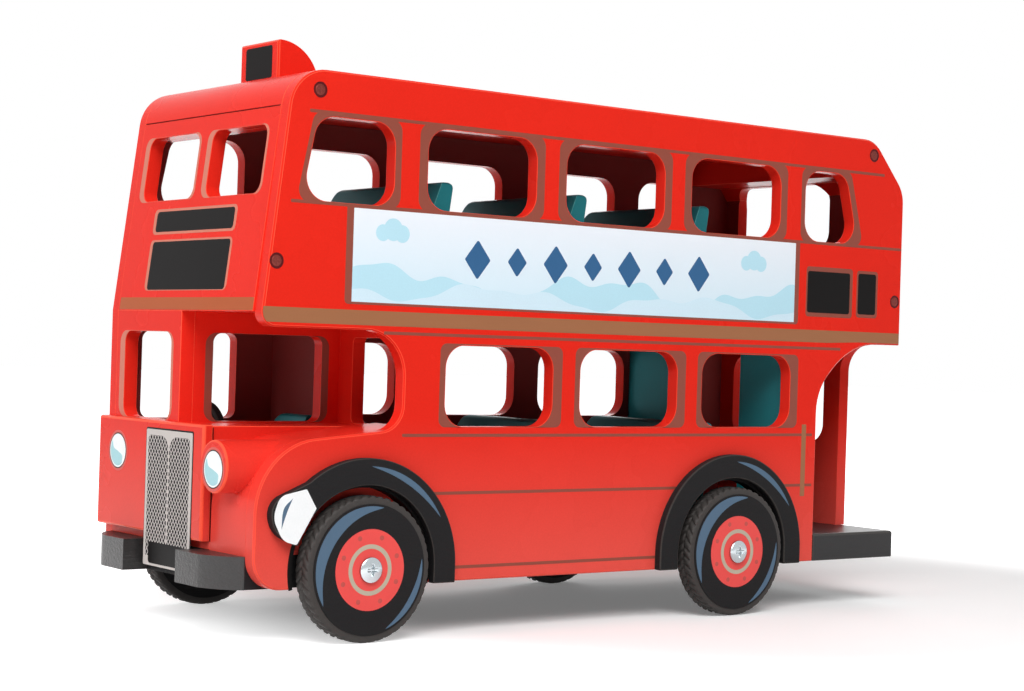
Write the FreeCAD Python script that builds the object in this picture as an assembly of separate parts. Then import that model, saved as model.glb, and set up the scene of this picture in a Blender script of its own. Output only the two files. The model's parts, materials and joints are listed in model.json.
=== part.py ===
import FreeCAD, Part
import math
import os
from FreeCAD import Vector

# Wooden toy double decker bus with a half cab, an open rear platform and four free wheels.
# Millimetres. x runs forward from the rear face of the upper deck, y to the bus's left (the
# nearside, where the platform opens), z up from the floor. The last step moves the origin to
# the bottom centre of the whole bus.

# ---- Boards and body ---------------------------------------------------------------------
BOARD = 6.3                 # thickness of the side panels and cross panels
BODY_WIDTH = 127.4          # over the two side panels
BODY_FRONT = 367.2          # front edge of the panels at the upper deck's underside
FRONT_LEAN = 7.1            # degrees that the upper front leans back
ROOF_Z = 227.9              # top of the roof
DECK_Z = 131.2              # underside of the upper deck floor
PANEL_Z = 22.2              # underside of the side panels, base board and platform
BASE_THICK = 13.0           # base board, platform and bumpers
SOFT_EDGE = 0.7             # small bevel that breaks the edges of the painted boards

HALF = BODY_WIDTH / 2
INNER = HALF - BOARD
BASE_TOP = PANEL_Z + BASE_THICK
LEAN = math.tan(math.radians(FRONT_LEAN))

# ---- Outline of the side panels -----------------------------------------------------------
ROOF_FRONT_R = 17.0         # rounding where the roof meets the leaning front
ROOF_REAR_X = 21.8          # where the roof starts to slope down at the rear
ROOF_REAR_R = 15.0
KNEE_Z = ROOF_Z - 24.2      # where the rear slope ends and the upright rear starts
KNEE_R = 15.0
OVERHANG_Z = DECK_Z - 3.8   # underside of the upper deck's side over the platform
PILLAR_X = 57.3             # rear edge of the saloon, front edge of the open platform
SWEEP_LOW_R = 26.0          # two tangent arcs sweep from the pillar to the overhang
SWEEP_HIGH_R = 44.0
SWEEP_SIZE = 23.0           # leg of the 45 degree line between the two arcs
BONNET_Z = DECK_Z - 46.2    # top of the bonnet
BAY_REAR_X = BODY_FRONT - 68.3      # rear end of the opening over the bonnet
BAY_TOP_Z = DECK_Z - 5.8
BAY_BOTTOM_Z = BONNET_Z + 0.5
BAY_TOP_R = 18.7
BAY_BOTTOM_R = 10.9
CHIN_R = 6.0                # lower front corner of the upper deck's side
WING_NOSE_Z = BONNET_Z - 5.8        # height of the wing's top line at the front edge
WING_NOSE_R = 29.7
FOOT_R = 12.7               # front lower corner of the nearside panel

# ---- Windows --------------------------------------------------------------------------------
UPPER_SILL_Z, UPPER_HEAD_Z = DECK_Z + 44.6, ROOF_Z - 18.4
LOWER_SILL_Z, LOWER_HEAD_Z = BONNET_Z + 1.5, DECK_Z - 10.8
CAB_SILL_Z, CAB_HEAD_Z = BONNET_Z + 0.5, DECK_Z - 8.8       # also of the bulkhead's window
OFF_CAB_SILL_Z, OFF_CAB_HEAD_Z = BONNET_Z - 0.6, DECK_Z - 8.4
WINDOW_R = 9.5
CAB_WINDOW_R = 4.0
PANE_R = 5.0                # corners of the windows in the cross panels
BULKHEAD_R = 2.5
UPPER_PILLAR, LOWER_PILLAR = 16.6, 15.4     # between one side window and the next
UPPER_COUNT, LOWER_COUNT = 3, 3             # square-ended windows on each deck
NOSE_REAR_X = BODY_FRONT - 60.5             # foremost upper window: rear edge, then its
NOSE_LOW_X, NOSE_HIGH_X = BODY_FRONT - 16.8, BODY_FRONT - 23.6      # leaning front edge
TAIL_LOW_X, TAIL_HIGH_X, TAIL_FRONT_X = 32.8, 42.0, 69.6            # rearmost upper window
LOWER_REAR_X = PILLAR_X + 19.0
LOWER_FRONT_X = BAY_REAR_X - 20.9
CAB_WINDOW_REAR, CAB_WINDOW_FRONT = BAY_REAR_X - 0.4, BODY_FRONT - 15.3     # in its side wall
OFF_CAB_REAR, OFF_CAB_FRONT = BAY_REAR_X + 9.0, BODY_FRONT - 12.0           # in the side panel

# ---- Front and rear panels ------------------------------------------------------------------
HEADER_Z = ROOF_Z - 15.3    # seam under the front header
HEADER_REAR_X = BODY_FRONT - 36.2
PANE_GAP = 11.0             # between the two front windows
PANE_MARGIN = 8.1           # from a front window to the side panel
PANE_SILL_Z, PANE_HEAD_Z = UPPER_SILL_Z + 2.4, UPPER_HEAD_Z - 3.7
REAR_HEADER_Z = ROOF_Z - 18.1       # underside of the rear header, ahead of its lip
REAR_HEADER_X = 33.1                # its front face
REAR_HEADER_SLOPE = 5.0     # how far its underside runs forward while it rises from the rear panel
REAR_WINDOW_FAR, REAR_WINDOW_NEAR = -(INNER - 9.9), 0.3 * HALF      # both rear windows
REAR_SILL_Z = BONNET_Z - 8.4        # of the lower rear window
REAR_POST_Y = REAR_WINDOW_NEAR + 11.0       # near edge of the rear lower panel
REAR_SWEEP_R = 14.0
PLATFORM_REAR_X = 1.2

# ---- Half cab, bonnet and wing --------------------------------------------------------------
CAB_WALL_Y = -0.1           # near face of the cab's side wall
CAB_MIDDLE_Y = (CAB_WALL_Y - BOARD - INNER) / 2
CAB_PANE_FAR, CAB_PANE_NEAR = 7.4, 8.0      # margins beside the cab's front window
BULKHEAD_X = BODY_FRONT - 78.1      # front face of the saloon bulkhead
BULKHEAD_MARGIN = 10.0      # beside the bulkhead's window
POD_R = 10.6                # headlamp pod
POD_REACH = 8.6             # ahead of the body
POD_LENGTH = 32.0
LAMP_Y = INNER - POD_R - 1.2        # both lamps stand this far from the centre line
LAMP_Z = BONNET_Z - 15.2
BONNET_Y = LAMP_Y - POD_R - 6.0     # near side of the bonnet, far side of the wing
APRON_THICK = 4.2
APRON_LOW_Z, APRON_HIGH_Z = PANEL_Z + 16.3, BONNET_Z + 0.4
GRILLE_WIDTH = 41.0
GRILLE_LOW_Z, GRILLE_HIGH_Z = PANEL_Z + 3.2, BONNET_Z - 2.4
GRILLE_THICK, GRILLE_FIELD_DEPTH = 1.4, 0.5
GRILLE_BORDER, GRILLE_BAR = 1.9, 1.4        # beside the mesh fields, and between them
GRILLE_TOP, GRILLE_FOOT = 3.2, 9.0          # plain bands above and below the mesh fields
MESH_INNER_R, MESH_OUTER_R = 6.5, 2.0       # top corners of the mesh fields
BUMPER_GAP = 45.4           # between the two bumper halves, round the foot of the grille
BUMPER_DEPTH, BUMPER_SWEEP = 11.7, 15.4     # sweep: how much of its width curves back

# ---- Inside -----------------------------------------------------------------------------------
PARTITION_X = PILLAR_X + 15.3       # front face of the two boards that close the saloon's rear
PARTITION_DOOR = 51.4       # gangway between them
SEAT_HEIGHT = 52.4
SEAT_SIDE_GAP = 15.0        # from a bench's end to the side panel
SEAT_LEAN, SEAT_FACE = 8.0, 20.0    # degrees that the back's rear and front faces lean
SEAT_CUSHION = 0.45         # cushion height as a share of the seat's
SEAT_DEPTH = 21.0           # cushion ahead of the back
SEAT_TOP_R, SEAT_NEAR_R = 6.8, 1.5          # top corners at the far and the near end
SEAT_EDGE_R, SEAT_CROOK_R = 2.6, 4.0
DRIVER_SEAT_WIDTH = 26.5
UPPER_SEATS_AT = (0.7293, 0.5264, 0.3220)   # top edges of the backs, as shares of the length
LOWER_SEATS_AT = (0.5230, 0.3045)
STEERING_R, STEERING_THICK = 11.2, 4.0
STEERING_TILT = 12.0
STEERING_X = BODY_FRONT - 29.2      # centre of the disc's front face
STEERING_Y = CAB_MIDDLE_Y + 2.9
STEERING_Z = BONNET_Z - 3.8
COLUMN_R = 3.0

# ---- Wheels -----------------------------------------------------------------------------------
TYRE_R = 29.5               # also the height of the wheel centres
RIM_R = 26.4                # outside of the wooden disc
WHEEL_WIDTH = 10.0
WHEEL_PROUD = 7.1           # outer face of the wheels ahead of the side panels
FRONT_AXLE_X, REAR_AXLE_X = BODY_FRONT - 49.8, 2 * PILLAR_X
WHEEL_FACE_Y = HALF + WHEEL_PROUD
HUB_BOSS_R = 7.0
SHANK_R = 2.0
RUNNING_FIT = 0.08          # radial, between the wheel's bore and its screw
END_PLAY = 0.3
SCREW_HEAD_R, SCREW_CROWN_R, SCREW_HEAD_RISE = 5.2, 3.6, 2.0
SCREW_DEPTH = 18.0          # length of shank in the base board
TYRE_INSET = 0.6            # tyre's flanks behind the disc's faces
TYRE_SHOULDER = 2.0         # how far the flanks slope in towards the tread
ARCH_GAP = 4.1              # from the tyre to the arch above it
PANEL_GAP = 3.1             # from the tyre to the opening in the side panel
ARCH_BAND = 10.9            # width of the arch
ARCH_THICK = 4.1
LOBE_REACH = 44.4           # the front arches' lobe: how far it reaches ahead of the axle
LOBE_TOP = (LOBE_REACH - 16.8, 35.0)        # points on its two edges, from the axle
LOBE_LOW = (LOBE_REACH - 6.2, 13.0)
LOBE_HEIGHTS = (28.0, 15.6)                         # of its two front corners above the axle
LOBE_RADII = (7.6, 11.0)
LOBE_ROOT = (5.0, 10.0)     # how far its edges run on under the ring, at the top and below

# ---- Sign box on the roof -----------------------------------------------------------------------
SIGN_FRONT_X = BODY_FRONT - 32.8
SIGN_WIDTH = 31.0
SIGN_HEIGHT = 17.8
SIGN_DEPTH = 20.4
SIGN_CROWN = (0.70, 0.715)  # a point on its rounded back, as shares of depth and height


def front_x(z):
    """Front edge of the body at height z: upright below the upper deck, leaning above it."""
    return BODY_FRONT - LEAN * max(0.0, z - DECK_Z)


def rounded_wire(points, place):
    """Closed wire through (a, b, radius) corners, each rounded by its tangent arc."""
    count = len(points)
    edges = []
    ends = []
    for i in range(count):
        a, b, radius = points[i]
        here = Vector(a, b, 0)
        to_prev = Vector(points[i - 1][0], points[i - 1][1], 0).sub(here).normalize()
        after = points[(i + 1) % count]
        to_next = Vector(after[0], after[1], 0).sub(here).normalize()
        if radius <= 0:
            ends.append((here, None, here))
            continue
        half_angle = to_prev.getAngle(to_next) / 2
        reach = radius / math.tan(half_angle)
        bisector = (to_prev + to_next).normalize()
        middle = here + bisector * (radius / math.sin(half_angle) - radius)
        ends.append((here + to_prev * reach, middle, here + to_next * reach))
    for i in range(count):
        start, middle, end = ends[i]
        if middle is not None:
            edges.append(Part.Arc(place(start), place(middle), place(end)).toShape())
        nxt = ends[(i + 1) % count][0]
        if end.distanceToPoint(nxt) > 1e-6:
            edges.append(Part.LineSegment(place(end), place(nxt)).toShape())
    return Part.Wire(edges)


def slab_y(points, y_low, y_high):
    """Board drawn in x and z, from y_low to y_high."""
    wire = rounded_wire(points, lambda p: Vector(p.x, y_low, p.y))
    return Part.Face(wire).extrude(Vector(0, y_high - y_low, 0))


def slab_x(points, x_low, x_high):
    """Board drawn in y and z, from x_low to x_high."""
    wire = rounded_wire(points, lambda p: Vector(x_low, p.x, p.y))
    return Part.Face(wire).extrude(Vector(x_high - x_low, 0, 0))


def slab_z(points, z_low, z_high):
    """Board drawn in x and y, from z_low to z_high."""
    wire = rounded_wire(points, lambda p: Vector(p.x, p.y, z_low))
    return Part.Face(wire).extrude(Vector(0, 0, z_high - z_low))


def box(x, y, z):
    """Plain block from three (low, high) pairs."""
    return Part.makeBox(x[1] - x[0], y[1] - y[0], z[1] - z[0], Vector(x[0], y[0], z[0]))


def rod_y(x, z, radius, y_low, y_high):
    return Part.makeCylinder(radius, y_high - y_low, Vector(x, y_low, z), Vector(0, 1, 0))


def soften(shape, keep, size=SOFT_EDGE):
    """Break the edges that keep(edge) picks with a small bevel."""
    return shape.makeChamfer(size, [e for e in shape.Edges if keep(e)])


def on_plane_y(y):
    return lambda e: abs(e.BoundBox.YMin - y) < 1e-6 and abs(e.BoundBox.YMax - y) < 1e-6


def on_plane_x(x):
    return lambda e: abs(e.BoundBox.XMin - x) < 1e-6 and abs(e.BoundBox.XMax - x) < 1e-6


def mirrored(shape):
    """The same piece on the other side of the bus."""
    return shape.mirror(Vector(0, 0, 0), Vector(0, 1, 0))


# ---- Side panels ----------------------------------------------------------------------------
def window(rear_low, rear_high, front_low, front_high, sill, head, radius):
    return [(rear_low, sill, radius), (front_low, sill, radius),
            (front_high, head, radius), (rear_high, head, radius)]


def window_row(rear, front, count, pillar, sill, head):
    """Equal windows that fill the length from rear to front, with pillars between them."""
    width = (front - rear - (count - 1) * pillar) / count
    for i in range(count):
        a = rear + i * (width + pillar)
        yield window(a, a, a + width, a + width, sill, head, WINDOW_R)


def upper_windows():
    """Nose window, a row of equal ones, tail window."""
    sill, head = UPPER_SILL_Z, UPPER_HEAD_Z
    nose = window(NOSE_REAR_X, NOSE_REAR_X, NOSE_LOW_X, NOSE_HIGH_X, sill, head, WINDOW_R)
    tail = window(TAIL_LOW_X, TAIL_HIGH_X, TAIL_FRONT_X, TAIL_FRONT_X, sill, head, WINDOW_R)
    row = window_row(TAIL_FRONT_X + UPPER_PILLAR, NOSE_REAR_X - UPPER_PILLAR, UPPER_COUNT,
                     UPPER_PILLAR, sill, head)
    return [nose, tail] + list(row)


def lower_windows():
    return list(window_row(LOWER_REAR_X, LOWER_FRONT_X, LOWER_COUNT, LOWER_PILLAR,
                           LOWER_SILL_Z, LOWER_HEAD_Z))


def cab_wall_window():
    a, b = CAB_WINDOW_REAR, CAB_WINDOW_FRONT
    return window(a, a, b, b, CAB_SILL_Z, CAB_HEAD_Z, CAB_WINDOW_R)


def off_cab_window():
    a, b = OFF_CAB_REAR, OFF_CAB_FRONT
    return window(a, a, b, b, OFF_CAB_SILL_Z, OFF_CAB_HEAD_Z, CAB_WINDOW_R)


def roof_line():
    """The corners that both side panels share, from the front up and over to the knee."""
    return [(front_x(ROOF_Z), ROOF_Z, ROOF_FRONT_R), (ROOF_REAR_X, ROOF_Z, ROOF_REAR_R),
            (0, KNEE_Z, KNEE_R)]


def near_outline():
    chin_x = front_x(DECK_Z)
    sweep_x = PILLAR_X - SWEEP_SIZE
    return [(PILLAR_X, PANEL_Z, 0), (BODY_FRONT, PANEL_Z, FOOT_R),
            (BODY_FRONT, WING_NOSE_Z, WING_NOSE_R),
            (BAY_REAR_X, BAY_BOTTOM_Z, BAY_BOTTOM_R), (BAY_REAR_X, BAY_TOP_Z, BAY_TOP_R),
            (chin_x, BAY_TOP_Z, CHIN_R)] + roof_line() + [
            (0, OVERHANG_Z, 0), (sweep_x, OVERHANG_Z, SWEEP_HIGH_R),
            (PILLAR_X, OVERHANG_Z - SWEEP_SIZE, SWEEP_LOW_R)]


def off_outline():
    return [(0, PANEL_Z, 0), (BODY_FRONT, PANEL_Z, 0), (BODY_FRONT, DECK_Z, 0)] + roof_line()


def wheel_opening(axle_x, y_low, y_high):
    """Round over the wheel, with straight sides down past the panel's lower edge."""
    radius = TYRE_R + PANEL_GAP
    round_part = rod_y(axle_x, TYRE_R, radius, y_low, y_high)
    legs = box((axle_x - radius, axle_x + radius), (y_low, y_high), (PANEL_Z - 1, TYRE_R))
    return round_part.fuse(legs)


def side_panel(outline, openings):
    """Bevel the outline on the outer face, then cut the windows and wheel openings."""
    panel = soften(slab_y(outline, INNER, HALF), on_plane_y(HALF))
    cuts = [slab_y(points, INNER - 1, HALF + 1) for points in openings]
    cuts += [wheel_opening(x, INNER - 1, HALF + 1) for x in (FRONT_AXLE_X, REAR_AXLE_X)]
    return panel.cut(cuts)


def side_panel_near():
    return side_panel(near_outline(), upper_windows() + lower_windows())


def side_panel_off():
    windows = upper_windows() + lower_windows() + [off_cab_window()]
    return mirrored(side_panel(off_outline(), windows))


# ---- Cross panels and roof -------------------------------------------------------------------
def front_header():
    """Block over the front panel, with a lip that comes down behind it to the panes' heads."""
    lip = [(front_x(HEADER_Z) - 2 * BOARD, HEADER_Z, 0),
           (front_x(PANE_HEAD_Z) - 2 * BOARD, PANE_HEAD_Z, 0),
           (front_x(PANE_HEAD_Z) - BOARD, PANE_HEAD_Z, 0),
           (front_x(HEADER_Z) - BOARD, HEADER_Z, 0)]
    return slab_y([(HEADER_REAR_X, HEADER_Z, 0)] + lip + [
                   (front_x(HEADER_Z), HEADER_Z, 0), (front_x(ROOF_Z), ROOF_Z, ROOF_FRONT_R),
                   (HEADER_REAR_X, ROOF_Z, 0)], -INNER, INNER)


def window_x(low_y, high_y, sill, head, radius, x_low, x_high):
    """Cutter for a window in a board that stands across the bus."""
    return slab_x([(low_y, sill, radius), (high_y, sill, radius),
                   (high_y, head, radius), (low_y, head, radius)], x_low, x_high)


def upper_front_panel():
    panel = slab_y([(front_x(DECK_Z) - BOARD, DECK_Z, 0), (front_x(DECK_Z), DECK_Z, 0),
                    (front_x(HEADER_Z), HEADER_Z, 0), (front_x(HEADER_Z) - BOARD, HEADER_Z, 0)],
                   -INNER, INNER)
    pane = window_x(PANE_GAP / 2, INNER - PANE_MARGIN, PANE_SILL_Z, PANE_HEAD_Z, PANE_R,
                    front_x(PANE_HEAD_Z) - 3 * BOARD, BODY_FRONT + BOARD)
    return panel.cut([pane, mirrored(pane)])


def rear_corner():
    """Everything inside the body's rear outline, between the side panels."""
    return slab_y([(0, OVERHANG_Z, 0), (HEADER_REAR_X, OVERHANG_Z, 0), (HEADER_REAR_X, ROOF_Z, 0),
                   (ROOF_REAR_X, ROOF_Z, ROOF_REAR_R), (0, KNEE_Z, KNEE_R)], -INNER, INNER)


def rear_window_cut():
    return window_x(REAR_WINDOW_FAR, REAR_WINDOW_NEAR, UPPER_SILL_Z, UPPER_HEAD_Z, WINDOW_R,
                    -1, REAR_HEADER_X + 1)


def upper_rear_panel():
    panel = box((0, BOARD), (-INNER, INNER), (OVERHANG_Z, KNEE_Z))
    return panel.common(rear_corner()).cut(rear_window_cut())


def rear_header():
    """Block over the rear panel, its underside sloping up like the roof outside."""
    block = slab_y([(0, KNEE_Z, 0), (BOARD, KNEE_Z, 0), (BOARD + REAR_HEADER_SLOPE, REAR_HEADER_Z, 0),
                    (REAR_HEADER_X, REAR_HEADER_Z, 0), (REAR_HEADER_X, ROOF_Z, 0),
                    (0, ROOF_Z, 0)], -INNER, INNER)
    return block.common(rear_corner()).cut(rear_window_cut())


def roof_board():
    return box((REAR_HEADER_X, HEADER_REAR_X), (-INNER, INNER), (ROOF_Z - BOARD, ROOF_Z))


def sign_box():
    """Upright front with a quarter-round back, standing on the roof."""
    front, back, top = SIGN_FRONT_X, SIGN_FRONT_X - SIGN_DEPTH, ROOF_Z + SIGN_HEIGHT
    at = lambda x, z: Vector(x, -SIGN_WIDTH / 2, z)
    middle = at(front - SIGN_CROWN[0] * SIGN_DEPTH, ROOF_Z + SIGN_CROWN[1] * SIGN_HEIGHT)
    wire = Part.Wire([Part.makeLine(at(back, ROOF_Z), at(front, ROOF_Z)),
                      Part.makeLine(at(front, ROOF_Z), at(front, top)),
                      Part.Arc(at(front, top), middle, at(back, ROOF_Z)).toShape()])
    block = Part.Face(wire).extrude(Vector(0, SIGN_WIDTH, 0))
    return soften(block, on_plane_x(front))


def upper_deck_floor():
    return slab_y([(BOARD, DECK_Z, 0), (front_x(DECK_Z) - BOARD, DECK_Z, 0),
                   (front_x(DECK_Z + BOARD) - BOARD, DECK_Z + BOARD, 0),
                   (BOARD, DECK_Z + BOARD, 0)], -INNER, INNER)


# ---- Lower deck -------------------------------------------------------------------------------
def base_board():
    board = box((PILLAR_X, BODY_FRONT), (-INNER, INNER), (PANEL_Z, BASE_TOP))
    holes = []
    for x in (FRONT_AXLE_X, REAR_AXLE_X):
        hole = rod_y(x, TYRE_R, SHANK_R, INNER - SCREW_DEPTH, INNER + 1)
        holes += [hole, mirrored(hole)]
    return board.cut(holes)


def rear_platform():
    board = box((PLATFORM_REAR_X, PILLAR_X), (-INNER, HALF), (PANEL_Z, BASE_TOP))
    rear_near = lambda e: (abs(e.BoundBox.ZMin - BASE_TOP) < 1e-6
                           and (on_plane_x(PLATFORM_REAR_X)(e) or on_plane_y(HALF)(e)))
    return soften(board, rear_near)


def rear_lower_panel():
    """Closes the rear behind the stairs' place, and sweeps up into the overhang at its near edge."""
    corners = [(-INNER, BASE_TOP, 0), (REAR_POST_Y, BASE_TOP, 0),
               (REAR_POST_Y, OVERHANG_Z, 0), (-INNER, OVERHANG_Z, 0)]
    panel = slab_x(corners, 0, BOARD)
    outer = REAR_POST_Y + REAR_SWEEP_R
    flare = box((0, BOARD), (REAR_POST_Y, outer), (OVERHANG_Z - REAR_SWEEP_R, OVERHANG_Z))
    flare = flare.cut(Part.makeCylinder(REAR_SWEEP_R, BOARD,
                                        Vector(0, outer, OVERHANG_Z - REAR_SWEEP_R),
                                        Vector(1, 0, 0)))
    cut = window_x(REAR_WINDOW_FAR, REAR_WINDOW_NEAR, REAR_SILL_Z, LOWER_HEAD_Z, WINDOW_R,
                   -1, BOARD + 1)
    return panel.fuse(flare).removeSplitter().cut(cut)


def saloon_partition():
    """Nearside one of the two boards at the saloon's rear."""
    return box((PARTITION_X - BOARD, PARTITION_X), (PARTITION_DOOR / 2, INNER), (BASE_TOP, DECK_Z))


def saloon_bulkhead():
    """Board behind the cab and the bonnet, with a window over the bonnet."""
    board = box((BULKHEAD_X - BOARD, BULKHEAD_X), (-INNER, INNER), (BASE_TOP, DECK_Z))
    return board.cut(window_x(CAB_WALL_Y + BULKHEAD_MARGIN, INNER - BULKHEAD_MARGIN, CAB_SILL_Z,
                              CAB_HEAD_Z, BULKHEAD_R, BULKHEAD_X - BOARD - 1, BULKHEAD_X + 1))


def cab_front_panel():
    panel = box((BODY_FRONT - BOARD, BODY_FRONT), (-INNER, CAB_WALL_Y), (BASE_TOP, DECK_Z))
    return panel.cut(window_x(CAB_PANE_FAR - INNER, CAB_WALL_Y - CAB_PANE_NEAR, CAB_SILL_Z,
                              CAB_HEAD_Z, PANE_R, BODY_FRONT - BOARD - 1, BODY_FRONT + 1))


def cab_side_wall():
    wall = box((BULKHEAD_X, BODY_FRONT - BOARD), (CAB_WALL_Y - BOARD, CAB_WALL_Y),
               (BASE_TOP, DECK_Z))
    return wall.cut(slab_y(cab_wall_window(), CAB_WALL_Y - BOARD - 1, CAB_WALL_Y + 1))


def bonnet_block():
    return box((BULKHEAD_X, BODY_FRONT), (CAB_WALL_Y, BONNET_Y), (BASE_TOP, BONNET_Z))


def wing_block():
    """Fills the space between the bonnet and the nearside panel, under the wing's curve."""
    slope = (BAY_BOTTOM_Z - WING_NOSE_Z) / (BODY_FRONT - BAY_REAR_X)
    rear_z = BAY_BOTTOM_Z + slope * (BAY_REAR_X - BULKHEAD_X)
    block = slab_y([(BULKHEAD_X, BASE_TOP, 0), (BODY_FRONT, BASE_TOP, 0),
                    (BODY_FRONT, WING_NOSE_Z, WING_NOSE_R), (BULKHEAD_X, rear_z, 0)],
                   BONNET_Y, INNER)
    return block.cut(headlamp_pod())


def headlamp_pod():
    front = BODY_FRONT + POD_REACH
    return Part.makeCylinder(POD_R, POD_LENGTH, Vector(front - POD_LENGTH, LAMP_Y, LAMP_Z),
                             Vector(1, 0, 0))


def apron_board():
    board = box((BODY_FRONT, BODY_FRONT + APRON_THICK), (-HALF, BONNET_Y),
                (APRON_LOW_Z, APRON_HIGH_Z))
    return soften(board, on_plane_x(BODY_FRONT + APRON_THICK))


def grille_plate():
    """Radiator plate with two fields set back in its face, rounded towards the middle bar."""
    back = BODY_FRONT + APRON_THICK
    face = back + GRILLE_THICK
    half = GRILLE_WIDTH / 2
    plate = box((back, face), (-half, half), (GRILLE_LOW_Z, GRILLE_HIGH_Z))
    inner, outer = GRILLE_BAR / 2, half - GRILLE_BORDER
    low, high = GRILLE_LOW_Z + GRILLE_FOOT, GRILLE_HIGH_Z - GRILLE_TOP
    field = slab_x([(inner, low, 0), (outer, low, 0), (outer, high, MESH_OUTER_R),
                    (inner, high, MESH_INNER_R)], face - GRILLE_FIELD_DEPTH, face + 1)
    return plate.cut([field, mirrored(field)])


def bumper():
    """Nearside bumper half: straight in front, swept back to the panel at its outer end."""
    back, front = BODY_FRONT, BODY_FRONT + BUMPER_DEPTH
    start, bend = BUMPER_GAP / 2, INNER - BUMPER_SWEEP
    at = lambda x, y: Vector(x, y, PANEL_Z)
    middle = at(back + 0.66 * BUMPER_DEPTH, bend + 0.74 * BUMPER_SWEEP)
    wire = Part.Wire([Part.makeLine(at(back, INNER), at(back, start)),
                      Part.makeLine(at(back, start), at(front, start)),
                      Part.makeLine(at(front, start), at(front, bend)),
                      Part.Arc(at(front, bend), middle, at(back, INNER)).toShape()])
    return Part.Face(wire).extrude(Vector(0, 0, BASE_THICK))


# ---- Seats and steering -----------------------------------------------------------------------
def seat_profile(top_x, floor_z):
    """Side view of a bench: reclined wedge back, cushion, upright front."""
    top = floor_z + SEAT_HEIGHT
    lean, face = math.tan(math.radians(SEAT_LEAN)), math.tan(math.radians(SEAT_FACE))
    cushion_z = floor_z + SEAT_CUSHION * SEAT_HEIGHT
    back_x = top_x - BOARD
    crook_x = top_x + face * (top - cushion_z)
    front_edge = crook_x + SEAT_DEPTH
    return [(back_x + lean * SEAT_HEIGHT, floor_z, 0), (front_edge, floor_z, 0),
            (front_edge, cushion_z, SEAT_EDGE_R), (crook_x, cushion_z, SEAT_CROOK_R),
            (top_x, top, SEAT_EDGE_R), (back_x, top, SEAT_EDGE_R)]


def seat(top_x, floor_z, width, middle_y):
    low, high = middle_y - width / 2, middle_y + width / 2
    body = slab_y(seat_profile(top_x, floor_z), low, high)
    top = floor_z + SEAT_HEIGHT
    ends = slab_x([(low, floor_z, 0), (high, floor_z, 0), (high, top, SEAT_NEAR_R),
                   (low, top, SEAT_TOP_R)], top_x - 2 * BOARD, top_x + 3 * SEAT_HEIGHT)
    return body.common(ends)


def driver_seat():
    """Short bench of the same pattern, its back against the bulkhead."""
    bench = seat(BULKHEAD_X + BOARD, BASE_TOP, DRIVER_SEAT_WIDTH, STEERING_Y)
    return bench.cut(box((BULKHEAD_X - 2 * BOARD, BULKHEAD_X), (-INNER, INNER), (0, ROOF_Z)))


def steering_axis():
    tilt = math.radians(STEERING_TILT)
    return Vector(-math.cos(tilt), 0, math.sin(tilt))


def steering_wheel():
    """Turned disc with a soft rim, facing back and up at the driver."""
    centre = Vector(STEERING_X, STEERING_Y, STEERING_Z)
    return Part.makeCylinder(STEERING_R, STEERING_THICK, centre, steering_axis())


def steering_column():
    """Dowel from the disc's back to the cab's front panel, cut flush against it."""
    start = Vector(STEERING_X, STEERING_Y, STEERING_Z)
    length = 2 * (BODY_FRONT - start.x)
    rod = Part.makeCylinder(COLUMN_R, length, start, steering_axis() * -1)
    return rod.common(box((start.x - 3 * COLUMN_R, BODY_FRONT - BOARD), (-INNER, INNER),
                          (BASE_TOP, ROOF_Z)))


# ---- Wheels -----------------------------------------------------------------------------------
def turned_y(points, axle_x):
    """Revolve a closed (radius, y) profile about a wheel's axis."""
    place = lambda p: Vector(axle_x + p.x, p.y, TYRE_R)
    face = Part.Face(rounded_wire(points, place))
    return face.revolve(Vector(axle_x, 0, TYRE_R), Vector(0, 1, 0), 360)


def wheel_disc(axle_x):
    """Wooden disc with a bore for its screw and a boss that keeps it off the base board."""
    bore = SHANK_R + RUNNING_FIT
    back = WHEEL_FACE_Y - WHEEL_WIDTH
    return turned_y([(bore, INNER + END_PLAY, 0), (HUB_BOSS_R, INNER + END_PLAY, 0),
                     (HUB_BOSS_R, back, 0), (RIM_R, back, 0),
                     (RIM_R, WHEEL_FACE_Y, 0), (bore, WHEEL_FACE_Y, 0)], axle_x)


def tyre(axle_x):
    """Rubber ring round the disc, its flanks sloping up to the tread."""
    back, front = WHEEL_FACE_Y - WHEEL_WIDTH + TYRE_INSET, WHEEL_FACE_Y - TYRE_INSET
    return turned_y([(RIM_R, back, 0), (TYRE_R, back + TYRE_SHOULDER, 0),
                     (TYRE_R, front - TYRE_SHOULDER, 0), (RIM_R, front, 0)], axle_x)


def wheel_screw(axle_x):
    """Pan-headed screw on which the wheel turns."""
    seat_y = WHEEL_FACE_Y + END_PLAY
    top_y = seat_y + SCREW_HEAD_RISE
    return turned_y([(0, INNER - SCREW_DEPTH, 0), (SHANK_R, INNER - SCREW_DEPTH, 0),
                     (SHANK_R, seat_y, 0), (SCREW_HEAD_R, seat_y, 0),
                     (SCREW_CROWN_R, top_y, 0), (0, top_y, 0)], axle_x)


def arch_lobe(axle_x, low, high):
    """Rounded tongue that the front arches carry ahead of the wheel."""
    up, down = LOBE_HEIGHTS
    slope = (LOBE_TOP[1] - up) / (LOBE_REACH - LOBE_TOP[0])
    fall = (down - LOBE_LOW[1]) / (LOBE_REACH - LOBE_LOW[0])
    start, end = LOBE_TOP[0] - LOBE_ROOT[0], LOBE_LOW[0] - LOBE_ROOT[1]
    corners = [(end, LOBE_LOW[1] - LOBE_ROOT[1] * fall, 0), (LOBE_REACH, down, LOBE_RADII[1]),
               (LOBE_REACH, up, LOBE_RADII[0]), (start, LOBE_TOP[1] + LOBE_ROOT[0] * slope, 0),
               (start, LOBE_LOW[1], 0)]
    return slab_y([(axle_x + a, TYRE_R + b, r) for a, b, r in corners], low, high)


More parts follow.
